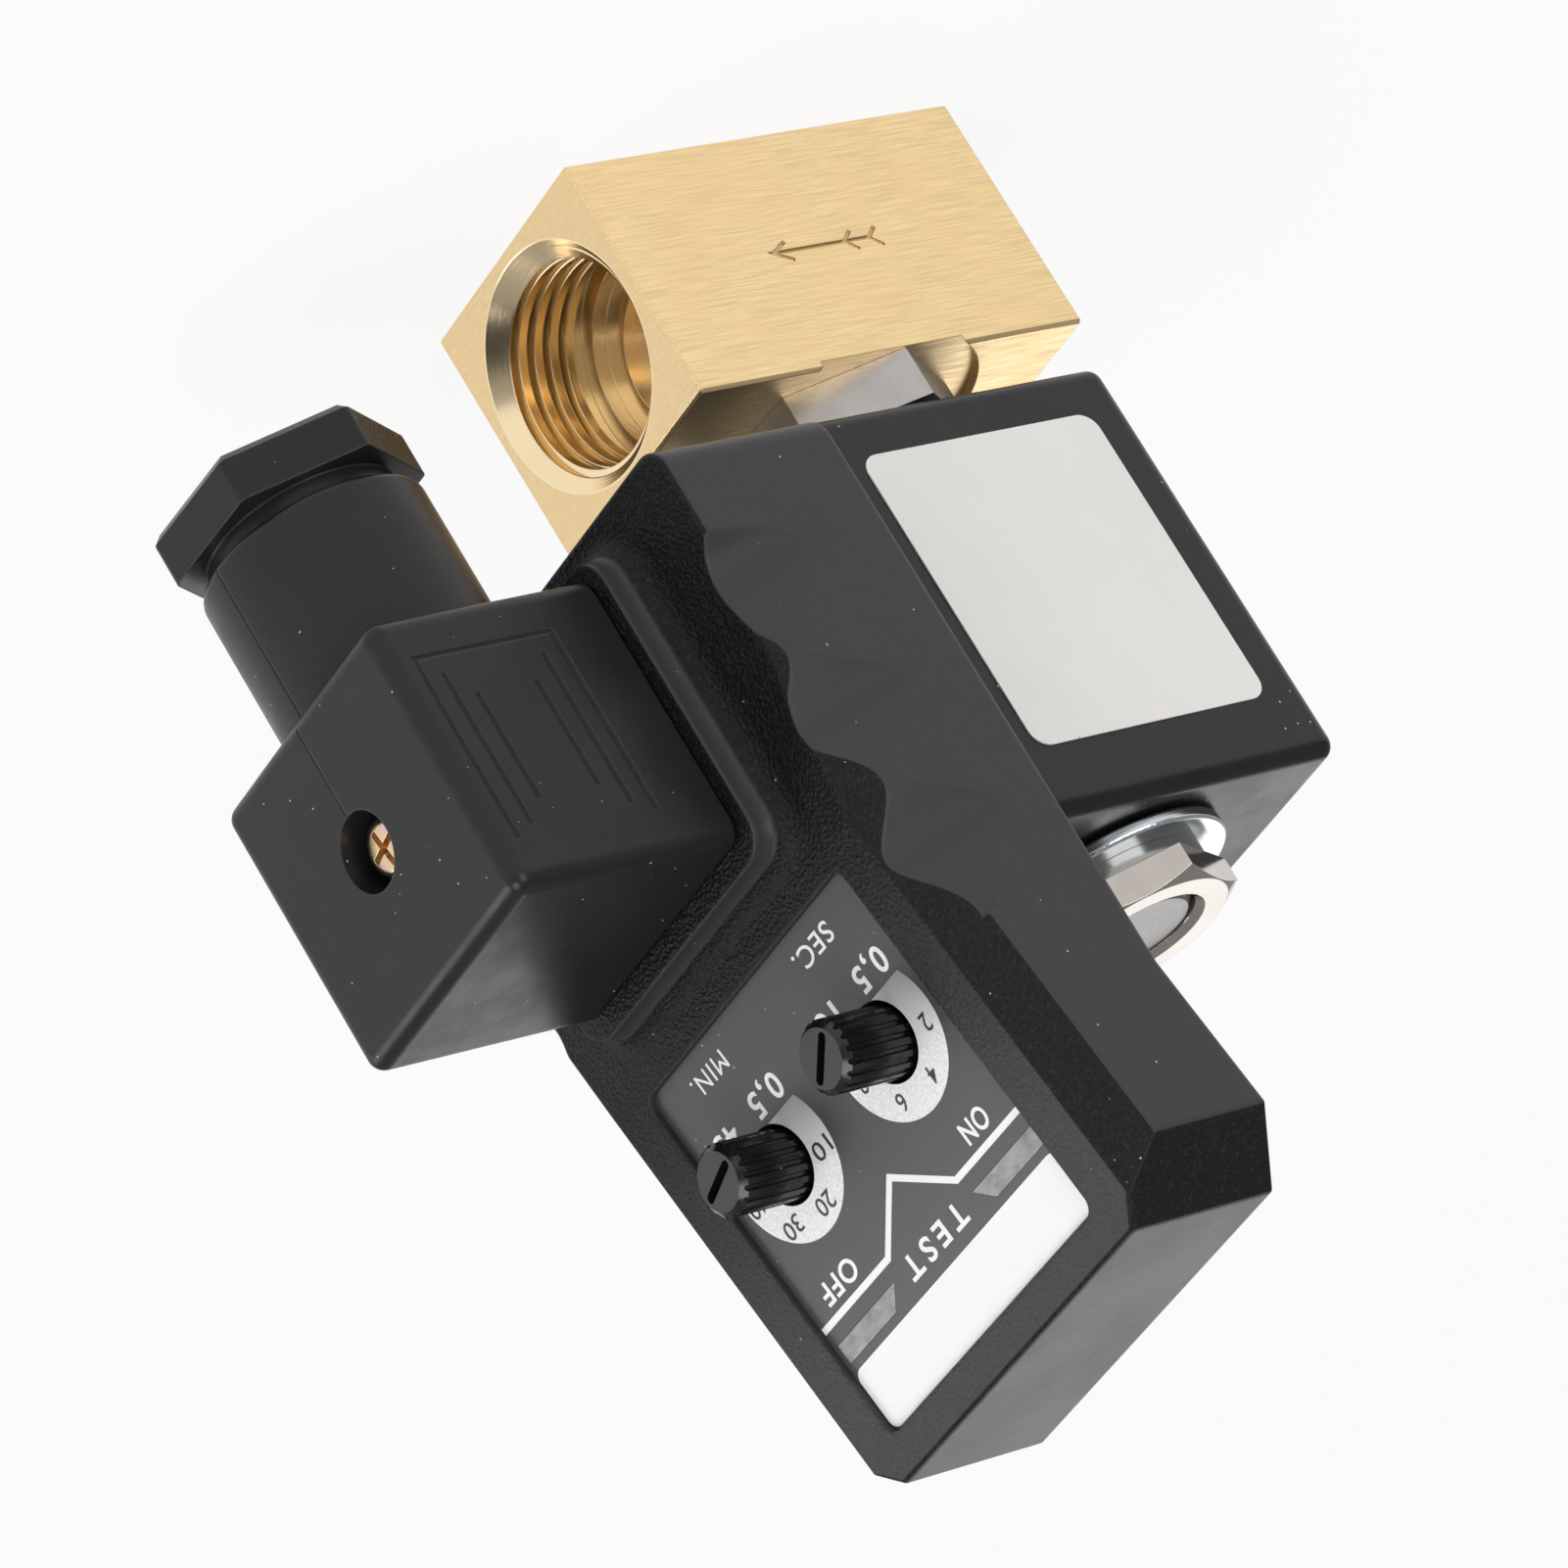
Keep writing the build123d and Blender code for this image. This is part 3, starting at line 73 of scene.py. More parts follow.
MM = 0.001
PLATE_TILT = math.radians(7.6)
PLATE_FOOT = (0.04191, 0.0, 0.07414)
# The next four heights bound the painted sheen on the timer's front and on its film
FRONT_SHEEN_FOOT = 0.068
FRONT_SHEEN_HEAD = 0.108
FILM_SHEEN_FOOT = 0.085
FILM_SHEEN_HEAD = 0.112
CORNER_FOOT = 0.1
KNOB_TIP = 0.0474
PORT_HEIGHT = 0.0124
PORT_MOUTH = 0.01118
PORT_BLEND = 0.0001
ARROW_FLOOR = 0.0123
ARROW_SLACK = 0.00015
ARROW_REACH = 0.008
ARROW_INNER = 0.0115
ARROW_OUTER = 0.0126

# How far the print is sunk into the film, so that no gap shows under it

PRINT_SINK = 0.01 * MM

# The front's print in millimetres on the panel: across from its middle and up from its foot

PRINT_LINE = ((-17.2, 24.95), (-6.2, 24.95), (-0.1, 20.45), (5.75, 24.95), (17.2, 24.95))

# Each word with its left, foot, right, head, extra weight and letter spacing

PRINT_WORDS = (
    ("word_test", "TEST", -4.9, 25.95, 4.85, 28.1, 0.022, 1.45),
    ("word_on", "ON", -13.55, 22.0, -9.85, 24.0, 0.018, 1.1),
    ("word_off", "OFF", 9.3, 22.0, 14.75, 24.0, 0.018, 1.1),
    ("word_sec", "SEC.", -11.9, 1.65, -6.15, 3.5, 0.008, 1.12),
    ("word_min", "MIN.", 7.1, 1.75, 12.45, 3.5, 0.0, 1.12),
    ("start_seconds", "0,5", -15.1, 6.05, -10.55, 8.8, 0.018, 1.2),
    ("start_minutes", "0,5", 3.5, 6.05, 8.15, 8.8, 0.018, 1.2),
    ("end_seconds", "10", -6.9, 6.55, -3.7, 8.8, 0.018, 1.1),
    ("end_minutes", "45", 11.15, 6.55, 14.6, 8.8, 0.018, 1.1),
)

# Each dial number with the place of its middle

PRINT_DIGITS = (
    ("2", -14.3, 14.2),
    ("4", -11.35, 17.5),
    ("6", -6.55, 17.1),
    ("8", -4.05, 13.5),
    ("10", 4.2, 14.35),
    ("20", 7.75, 17.7),
    ("30", 12.6, 16.95),
    ("40", 14.55, 13.4),
)
DIGIT_HALF_HEIGHT = 0.82
DIGIT_HALF_WIDTH = 0.5
PAIR_HALF_WIDTH = 1.225

# The floor, what the lamps aim at, and the camera that took the photograph

FLOOR_REACH = 3.0
FLOOR_GAP = 0.1 * MM
LAMP_AIM = (0.02, 0.0, 0.06)
EYE_PLACE = (0.50729, -0.50540, 0.31749)
EYE_TURN = (-66.4017, -29.0231, -148.3794)
LENS = 202.2
SENSOR = 36.0


def plate_place(lift=0.0):
    """Placing matrix of the timer's front: X across, Y up the slope, Z out of it."""
    across = Vector((0, 1, 0))
    up = Vector((-math.sin(PLATE_TILT), 0, math.cos(PLATE_TILT)))
    out = across.cross(up)
    place = Matrix((across, up, out)).transposed().to_4x4()
    place.translation = Vector(PLATE_FOOT) + out * lift
    return place


# Sizes and colours that a user would change


def length(name, description, millimetres):
    """A length property with its default given in millimetres."""
    return FloatProperty(
        name=name, description=description, default=millimetres * MM, unit="LENGTH", precision=5
    )


def portion(name, description, default):
    """A plain number between 0 and 1."""
    return FloatProperty(name=name, description=description, default=default, min=0.0, max=1.0)


def power(name, description, watts):
    """The power of one lamp."""
    return FloatProperty(name=name, description=description, default=watts, min=0.0, unit="POWER")


def colour(name, description, default):
    """A colour property, linear."""
    return FloatVectorProperty(
        name=name, description=description, default=default, subtype="COLOR", size=3, min=0.0, max=1.0
    )


class PrintSettings(bpy.types.PropertyGroup):
    ink: length("Ink thickness", "How far the print stands on the film", 0.03)
    line: length("Line width", "Width of the white line under the lamps", 0.62)
    ring_outer: length("Scale radius", "Outer radius of the round scales", 6.85)
    ring_inner: length("Scale hole", "Inner radius of the round scales", 3.6)
    ring_cut: length("Scale foot", "Height up the panel where the scales are cut off", 9.4)
    knob_spread: length("Knob spread", "Distance of each scale from the middle", 9.2)
    knob_up: length("Knob height", "Height of the scales' centre up the panel", 12.66)
    band_low: length("Band foot", "Lower edge of the white writing band", 29.35)
    band_high: length("Band head", "Upper edge of the white writing band", 35.3)
    band_half: length("Band half width", "Half width of the white writing band", 17.2)
    band_corner: length("Band corner", "Corner radius of the white writing band", 1.0)


class ColourSettings(bpy.types.PropertyGroup):
    brass: colour("Brass", "Colour of the valve body", (0.99, 0.75, 0.41))
    brass_bore: colour("Brass bore", "Colour inside the ports", (0.97, 0.78, 0.50))
    steel: colour("Armature steel", "Colour of the hexagon foot", (0.50, 0.48, 0.46))
    nickel: colour("Nickel", "Colour of the nut", (0.54, 0.50, 0.46))
    zinc: colour("Zinc", "Colour of the flat washer", (0.62, 0.66, 0.69))
    coil: colour("Coil plastic", "Colour of the moulded coil", (0.010, 0.010, 0.011))
    timer: colour("Timer plastic", "Colour of the timer housing", (0.004, 0.004, 0.005))
    film: colour("Front film", "Colour of the printed film", (0.045, 0.044, 0.050))
    plug: colour("Plug plastic", "Colour of the cable plug", (0.013, 0.013, 0.014))
    knob: colour("Knob plastic", "Colour of the setting knobs", (0.006, 0.006, 0.007))
    label: colour("Label paper", "Colour of the coil's blank label", (0.86, 0.84, 0.81))
    ink_white: colour("White ink", "Colour of the white print", (0.84, 0.84, 0.85))
    ink_dark: colour("Dark ink", "Colour of the small dial numbers", (0.035, 0.035, 0.04))


class StageSettings(bpy.types.PropertyGroup):
    floor: colour("Floor", "Colour of the floor", (0.94, 0.94, 0.94))
    fill: portion("Room light", "Brightness of the surroundings", 0.34)
    share: portion("Floor glow", "Share of the floor that is plain white", 0.88)
    key: power("Key light", "Power of the large soft lamp", 4.6)
    side: power("Side light", "Power of the side lamp", 4.0)
    back: power("Back light", "Power of the lamp behind", 1.0)
    right: power("Right light", "Power of the low lamp on the right", 1.9)


# Short ways to build node trees


def add(tree, kind, inputs=None, **settings):
    """Adds a node, sets it up and fills its inputs with values or links."""
    made = tree.nodes.new(kind)
    for key, value in settings.items():
        setattr(made, key, value)
    for key, value in (inputs or {}).items():
        if isinstance(value, bpy.types.NodeSocket):
            tree.links.new(value, made.inputs[key])
        else:
            made.inputs[key].default_value = value
    return made


def calc(tree, operation, first, second=0.0, clamp=False):
    """One sum on one or two values."""
    made = add(tree, "ShaderNodeMath", {0: first, 1: second}, operation=operation, use_clamp=clamp)
    return made.outputs[0]


def spread(tree, value, low, high, to_low=0.0, to_high=1.0):
    """Runs a value smoothly from to_low at low to to_high at high."""
    made = add(
        tree,
        "ShaderNodeMapRange",
        {"Value": value, "From Min": low, "From Max": high, "To Min": to_low, "To Max": to_high},
        interpolation_type="SMOOTHSTEP",
    )
    return made.outputs["Result"]


def blend_colour(tree, factor, first, second, mode="MIX"):
    """Mixes two colours, each given as a link or as three numbers."""
    made = add(tree, "ShaderNodeMix", {0: factor}, data_type="RGBA", blend_type=mode)
    for index, value in ((6, first), (7, second)):
        if isinstance(value, bpy.types.NodeSocket):
            tree.links.new(value, made.inputs[index])
        else:
            made.inputs[index].default_value = (*value[:3], 1.0)
    return made.outputs[2]


def object_point(tree, scale=(1.0, 1.0, 1.0), move=(0.0, 0.0, 0.0), turn=(0.0, 0.0, 0.0)):
    """The point on the surface in the object's own coordinates, moved and scaled."""
    point = add(tree, "ShaderNodeTexCoord").outputs["Object"]
    mapped = add(
        tree, "ShaderNodeMapping", {"Vector": point, "Location": move, "Rotation": turn, "Scale": scale}
    )
    return mapped.outputs["Vector"]


def object_place(tree, move=(0.0, 0.0, 0.0)):
    """X, Y and Z of that point."""
    return add(tree, "ShaderNodeSeparateXYZ", {0: object_point(tree, move=move)}).outputs


def surface_side(tree):
    """X, Y and Z of the surface's own direction."""
    normal = add(tree, "ShaderNodeTexCoord").outputs["Normal"]
    return add(tree, "ShaderNodeSeparateXYZ", {0: normal}).outputs


def noise(tree, vector, scale, detail=2.0, rough=0.5):
    """Noise between 0 and 1."""
    made = add(
        tree, "ShaderNodeTexNoise", {"Vector": vector, "Scale": scale, "Detail": detail, "Roughness": rough}
    )
    return made.outputs["Fac"]


def group(name, inputs, outputs):
    """An empty shader node group with named inputs and outputs."""
    tree = bpy.data.node_groups.new(name, "ShaderNodeTree")
    for label, default in inputs:
        kind = "NodeSocketVector" if isinstance(default, tuple) else "NodeSocketFloat"
        socket = tree.interface.new_socket(label, in_out="INPUT", socket_type=kind)
        socket.default_value = default
    for label, kind in outputs:
        tree.interface.new_socket(label, in_out="OUTPUT", socket_type=kind)
    return tree, add(tree, "NodeGroupInput").outputs, add(tree, "NodeGroupOutput").inputs


def drawn_lines_group():
    """Fine lines, drawn out by a different stretch along each axis."""
    tree, given, out = group(
        "Drawn Lines",
        [("Stretch", (200.0, 5000.0, 5000.0)), ("Contrast", 1.0)],
        [("Lines", "NodeSocketFloat")],
    )
    point = add(tree, "ShaderNodeTexCoord").outputs["Object"]
    stretched = add(tree, "ShaderNodeVectorMath", {0: point, 1: given["Stretch"]}, operation="MULTIPLY")
    fine = noise(tree, stretched.outputs[0], 1.0, 4.0, 0.65)
    centred = calc(tree, "SUBTRACT", fine, 0.5)
    lines = add(tree, "ShaderNodeMath", {0: centred, 1: given["Contrast"], 2: 0.5}, operation="MULTIPLY_ADD")
    tree.links.new(lines.outputs[0], out["Lines"])


def moulded_grain_group():
    """The leather grain of a moulding, as a height."""
    tree, given, out = group(
        "Moulded Grain", [("Cells", 3400.0), ("Softness", 0.35)], [("Height", "NodeSocketFloat")]
    )
    point = add(tree, "ShaderNodeTexCoord").outputs["Object"]
    cells = add(
        tree,
        "ShaderNodeTexVoronoi",
        {"Vector": point, "Scale": given["Cells"], "Smoothness": given["Softness"]},
        feature="SMOOTH_F1",
    ).outputs["Distance"]
    drift = noise(tree, point, 2600.0, 2.0)
    tree.links.new(calc(tree, "ADD", cells, calc(tree, "MULTIPLY", drift, 0.7)), out["Height"])


def dust_specks_group():
    """Small scattered specks of dust, as a mask."""
    tree, given, out = group(
        "Dust Specks",
        [("Cells", 560.0), ("Size", 0.045), ("Amount", 0.45)],
        [("Specks", "NodeSocketFloat")],
    )
    point = add(tree, "ShaderNodeTexCoord").outputs["Object"]
    cells = add(tree, "ShaderNodeTexVoronoi", {"Vector": point, "Scale": given["Cells"]}).outputs
    chance = add(tree, "ShaderNodeSeparateColor", {0: cells["Color"]}).outputs
    reach = calc(tree, "MULTIPLY", given["Size"], calc(tree, "ADD", chance[1], 0.5))
    near = calc(tree, "LESS_THAN", cells["Distance"], reach)
    picked = calc(tree, "LESS_THAN", chance[0], given["Amount"])
    tree.links.new(calc(tree, "MULTIPLY", near, picked), out["Specks"])


def broad_mottle_group():
    """A cloudy value that drifts between Low and High."""
    tree, given, out = group(
        "Broad Mottle", [("Scale", 60.0), ("Low", 0.0), ("High", 1.0)], [("Value", "NodeSocketFloat")]
    )
    point = add(tree, "ShaderNodeTexCoord").outputs["Object"]
    cloudy = spread(tree, noise(tree, point, given["Scale"], 4.0, 0.6), 0.3, 0.7)
    span = calc(tree, "SUBTRACT", given["High"], given["Low"])
    tree.links.new(calc(tree, "ADD", calc(tree, "MULTIPLY", cloudy, span), given["Low"]), out["Value"])


def edge_band_group():
    """A mask along the edges, within Radius of them."""
    tree, given, out = group(
        "Edge Band", [("Radius", 0.0004), ("Gain", 5.0)], [("Edge", "NodeSocketFloat")]
    )
    rounded = add(tree, "ShaderNodeBevel", {"Radius": given["Radius"]}, samples=6).outputs[0]
    flat = add(tree, "ShaderNodeNewGeometry").outputs["Normal"]
    match = add(tree, "ShaderNodeVectorMath", {0: rounded, 1: flat}, operation="DOT_PRODUCT")
    away = calc(tree, "SUBTRACT", 1.0, match.outputs["Value"])
    tree.links.new(calc(tree, "MULTIPLY", away, given["Gain"], clamp=True), out["Edge"])


def make_groups():
    """Builds the effects that several finishes share."""
    drawn_lines_group()
    moulded_grain_group()
    dust_specks_group()
    broad_mottle_group()
    edge_band_group()


def use(tree, name, output, **inputs):
    """Places a shared effect with this finish's own values."""
    made = add(tree, "ShaderNodeGroup")
    made.node_tree = bpy.data.node_groups[name]
    for key, value in inputs.items():
        made.inputs[key.replace("_", " ")].default_value = value
    return made.outputs[output]


class Finish:
    """One material, built up from its Principled shader."""

    def __init__(self, name, base, roughness, metallic=0.0, **shader):
        self.material = bpy.data.materials.new(name)
        self.material.use_nodes = True
        self.tree = self.material.node_tree
        self.shader = self.tree.nodes["Principled BSDF"]
        self.set(
            **{"Base Color": (*base, 1.0), "Roughness": roughness, "Metallic": metallic, **shader}
        )

    def set(self, **values):
        """Fills the shader's inputs with values or links."""
        for key, value in values.items():
            socket = self.shader.inputs[key.replace("_", " ")]
            if isinstance(value, bpy.types.NodeSocket):
                self.tree.links.new(value, socket)
            else:
                socket.default_value = value

    def bump(self, height, distance, strength=1.0, edge=0.0):
        """Feeds a height into the normal, over edges rounded by the given radius."""
        inputs = {"Height": height, "Distance": distance, "Strength": strength}
        if edge:
            inputs["Normal"] = add(self.tree, "ShaderNodeBevel", {"Radius": edge}, samples=6).outputs[0]
        self.set(Normal=add(self.tree, "ShaderNodeBump", inputs).outputs[0])
        return self


def colours():
    """The colours that a user may change."""
    return bpy.context.scene.valve_colours


def dress(finish, *nodes):
    """Gives CAD nodes one finish."""
    for name in nodes:
        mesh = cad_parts[name].data
        mesh.materials.clear()
        mesh.materials.append(finish.material)


def plastic(name, base, roughness, grain=0.0, cells=3000.0, dust=0.4, edge=0.25, wear=0.02, shine=0.5):
    """Black moulded plastic with a little dust, paler edges and an uneven sheen."""
    made = Finish(name, base, roughness, **{"Specular IOR Level": shine})
    tree = made.tree
    worn = tuple(channel + wear for channel in base)
    body = blend_colour(tree, use(tree, "Edge Band", "Edge", Radius=edge * MM, Gain=3.0), base, worn)
    cloudy = use(tree, "Broad Mottle", "Value", Scale=90.0)
    faded = tuple(1.5 * channel for channel in base)
    body = blend_colour(tree, calc(tree, "MULTIPLY", cloudy, 0.35), body, faded)
    specks = use(tree, "Dust Specks", "Specks", Amount=dust)
    made.set(**{"Base Color": blend_colour(tree, specks, body, (0.42, 0.42, 0.42))})
    sheen = use(tree, "Broad Mottle", "Value", Scale=140.0, Low=roughness - 0.05, High=roughness + 0.06)
    made.set(Roughness=sheen)
    height = noise(tree, object_point(tree), 900.0, 3.0)
    depth = 0.004 * MM
    if grain:
        height = use(tree, "Moulded Grain", "Height", Cells=cells)
        depth = grain * MM
    return made.bump(height, depth, 1.0, edge * MM)


# Metal finishes


def arrow_floor(tree, radius):
    """Where the flow arrow is cut into the side, as a mask."""
    place = object_place(tree)
    depth = calc(tree, "ABSOLUTE", calc(tree, "ADD", place["Y"], ARROW_FLOOR))
    across = calc(tree, "ABSOLUTE", place["X"])
    mask = calc(tree, "LESS_THAN", depth, ARROW_SLACK)
    mask = calc(tree, "MULTIPLY", mask, calc(tree, "LESS_THAN", across, ARROW_REACH))
    mask = calc(tree, "MULTIPLY", mask, calc(tree, "LESS_THAN", radius, ARROW_OUTER))
    return calc(tree, "MULTIPLY", mask, calc(tree, "GREATER_THAN", radius, ARROW_INNER))


def brass_finish():
    """Sawn and brushed brass outside with painted shade on the end faces, bright turned brass in the ports.
    """
    pale, bore = colours().brass, colours().brass_bore
    made = Finish("Brushed Brass", pale, 0.34, 1.0)
    tree = made.tree
    point = object_point(tree, move=(0.0, 0.0, -PORT_HEIGHT))
    off_axis = add(tree, "ShaderNodeVectorMath", {0: point, 1: (0.0, 1.0, 1.0)}, operation="MULTIPLY")
    radius = add(tree, "ShaderNodeVectorMath", {0: off_axis.outputs[0]}, operation="LENGTH").outputs["Value"]
    inside = spread(tree, radius, PORT_MOUTH + PORT_BLEND, PORT_MOUTH)
    side = surface_side(tree)
    end_face = spread(tree, calc(tree, "ABSOLUTE", side["X"]), 0.9, 0.97)
    along = use(tree, "Drawn Lines", "Lines", Stretch=(160.0, 5200.0, 5200.0), Contrast=1.5)
    across = use(tree, "Drawn Lines", "Lines", Stretch=(900.0, 900.0, 4200.0), Contrast=1.0)
    lines = add(tree, "ShaderNodeMix", {0: end_face, 2: along, 3: across}).outputs[0]
    cloudy = use(tree, "Broad Mottle", "Value", Scale=110.0)
    dull = tuple(0.80 * channel for channel in pale)
    rich = (0.92 * pale[0], 0.86 * pale[1], 0.76 * pale[2])
    face = blend_colour(tree, spread(tree, lines, 0.25, 0.75), dull, pale)
    face = blend_colour(tree, calc(tree, "MULTIPLY", cloudy, 0.35), face, rich)
    # Painted shade: the end faces are painted darker, as they lie less lit
    face = blend_colour(tree, calc(tree, "MULTIPLY", end_face, 0.55), face, (0.80, 0.60, 0.34))
    edge = use(tree, "Edge Band", "Edge", Radius=0.35 * MM, Gain=4.0)
    face = blend_colour(tree, calc(tree, "MULTIPLY", edge, 0.7), face, (0.74, 0.50, 0.22))
    face = blend_colour(tree, arrow_floor(tree, radius), face, (0.62, 0.43, 0.21))
    made.set(**{"Base Color": blend_colour(tree, inside, face, bore)})
    rough = spread(tree, lines, 0.2, 0.8, 0.42, 0.26)
    made.set(Roughness=add(tree, "ShaderNodeMix", {0: inside, 2: rough, 3: 0.22}).outputs[0])
    turned = noise(tree, object_point(tree, (6000.0, 300.0, 300.0)), 1.0, 2.0)
    height = add(tree, "ShaderNodeMix", {0: inside, 2: lines, 3: turned}).outputs[0]
    return made.bump(height, 0.012 * MM, 1.0, 0.15 * MM)


def drawn_metal(name, base, roughness, stretch, depth, contrast=1.0):
    """Plated or bare metal with drawn or turned marks."""
    made = Finish(name, base, roughness, 1.0)
    tree = made.tree
    lines = use(tree, "Drawn Lines", "Lines", Stretch=stretch, Contrast=contrast)
    cloudy = use(tree, "Broad Mottle", "Value", Scale=260.0)
    dark = tuple(0.82 * channel for channel in base)
    made.set(**{"Base Color": blend_colour(tree, calc(tree, "MULTIPLY", cloudy, 0.6), base, dark)})
    made.set(Roughness=spread(tree, lines, 0.2, 0.8, roughness + 0.06, max(roughness - 0.04, 0.05)))
    return made.bump(lines, depth * MM, 1.0, 0.15 * MM)


def turned_metal(name, base, roughness, depth):
    """Metal with fine rings round the Z axis, as a lathe leaves."""
    made = Finish(name, base, roughness, 1.0)
    tree = made.tree
    point = object_point(tree)
    flat = add(tree, "ShaderNodeVectorMath", {0: point, 1: (1.0, 1.0, 0.0)}, operation="MULTIPLY")
    radius = add(tree, "ShaderNodeVectorMath", {0: flat.outputs[0]}, operation="LENGTH").outputs["Value"]
    ring = add(tree, "ShaderNodeCombineXYZ", {"X": radius, "Y": object_place(tree)["Z"]}).outputs[0]
    rings = noise(tree, ring, 5200.0, 2.0, 0.6)
    cloudy = use(tree, "Broad Mottle", "Value", Scale=300.0)
    dark = tuple(0.84 * channel for channel in base)
    made.set(**{"Base Color": blend_colour(tree, calc(tree, "MULTIPLY", cloudy, 0.5), base, dark)})
    made.set(Roughness=spread(tree, rings, 0.2, 0.8, roughness + 0.05, max(roughness - 0.03, 0.05)))
    return made.bump(rings, depth * MM, 1.0, 0.12 * MM)


class VALVE_OT_brass(bpy.types.Operator):
    """Finish the brass body"""

    bl_idname = "valve.brass"
    bl_label = "Brass Body"

    def execute(self, context):
        dress(brass_finish(), "valve_body")
        return {"FINISHED"}


def soft_spring(finish):
    """A copy of the return spring, with its points merged, that rides with the plunger."""
    shape = bmesh.new()
    shape.from_mesh(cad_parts["return_spring"].data)
    bmesh.ops.remove_doubles(shape, verts=shape.verts[:], dist=0.0005 * MM)
    bmesh.ops.recalc_face_normals(shape, faces=shape.faces[:])
    mesh = bpy.data.meshes.new("soft_spring")
    shape.to_mesh(mesh)
    shape.free()
    mesh.materials.append(finish.material)
    piece = bpy.data.objects.new("soft_spring", mesh)
    bpy.context.scene.collection.objects.link(piece)
    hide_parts("return_spring")
    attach(piece, "plunger")
    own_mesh(piece)


class VALVE_OT_armature(bpy.types.Operator):
    """Finish the armature tube, core, plunger, nut and washers"""

    bl_idname = "valve.armature"
    bl_label = "Armature and Nut"

    def execute(self, context):
        own = colours()
        steel = drawn_metal("Armature Steel", own.steel, 0.42, (900.0, 900.0, 2600.0), 0.01, 1.2)
        dress(steel, "armature_tube")
        dress(turned_metal("Plunger Steel", (0.60, 0.59, 0.58), 0.24, 0.006), "plunger")
        dress(turned_metal("Nickel Nut", own.nickel, 0.09, 0.003), "top_nut")
        dress(turned_metal("Stud Steel", (0.27, 0.26, 0.255), 0.30, 0.014), "fixed_core")
        dress(turned_metal("Zinc Washer", own.zinc, 0.15, 0.004), "top_washer")
        spring = turned_metal("Spring Steel", (0.36, 0.35, 0.34), 0.14, 0.003)
        dress(spring, "lock_washer", "return_spring")
        soft_spring(spring)
        dress(turned_metal("Copper Ring", (0.86, 0.44, 0.28), 0.25, 0.004), "shading_ring")
        rubber = plastic("Seal Rubber", (0.018, 0.017, 0.016), 0.6, 0.012, 4200.0, 0.1)
        dress(rubber, "body_seal", "coil_seal", "plunger_seal", "coil_gasket", "plug_gasket", "gland_seal")
        return {"FINISHED"}


# Coil


def label_finish():
    """Blank satin paper with a faint tooth."""
    base = tuple(colours().label)
    made = Finish("Label Paper", base, 0.55)
    tree = made.tree
    cloudy = use(tree, "Broad Mottle", "Value", Scale=45.0)
    tooth = noise(tree, object_point(tree), 6000.0, 3.0)
    aged = tuple(0.93 * channel for channel in base)
    shade = blend_colour(tree, calc(tree, "MULTIPLY", cloudy, 0.5), base, aged)
    specks = use(tree, "Dust Specks", "Specks", Cells=500.0, Size=0.035, Amount=0.12)
    made.set(**{"Base Color": blend_colour(tree, specks, shade, (0.20, 0.19, 0.18))})
    made.set(Roughness=spread(tree, tooth, 0.3, 0.7, 0.5, 0.62))
    return made.bump(tooth, 0.006 * MM, 0.8)


class VALVE_OT_coil(bpy.types.Operator):
    """Finish the moulded coil, its label and the pieces inside it"""

    bl_idname = "valve.coil"
    bl_label = "Coil"

    def execute(self, context):
        moulded = plastic("Coil Plastic", colours().coil, 0.27, dust=0.45, edge=0.2, wear=0.05, shine=0.34)
        dress(moulded, "coil_casing")
        dress(label_finish(), "coil_label")
        dress(plastic("Spool Nylon", (0.55, 0.52, 0.45), 0.5, dust=0.0), "coil_spool")
        wire = drawn_metal("Enamelled Wire", (0.78, 0.34, 0.16), 0.3, (300.0, 300.0, 5200.0), 0.05, 1.6)
        dress(wire, "copper_winding")
        bent = drawn_metal("Frame Steel", (0.52, 0.53, 0.55), 0.34, (300.0, 2600.0, 2600.0), 0.01)
        dress(bent, "magnet_frame")
        contact = drawn_metal("Contact Brass", (0.80, 0.62, 0.34), 0.24, (300.0, 3000.0, 3000.0), 0.005)
        dress(contact, "coil_terminals", "screw_insert", "timer_sockets", "timer_blades", "contact_sleeves")
        return {"FINISHED"}


# Timer


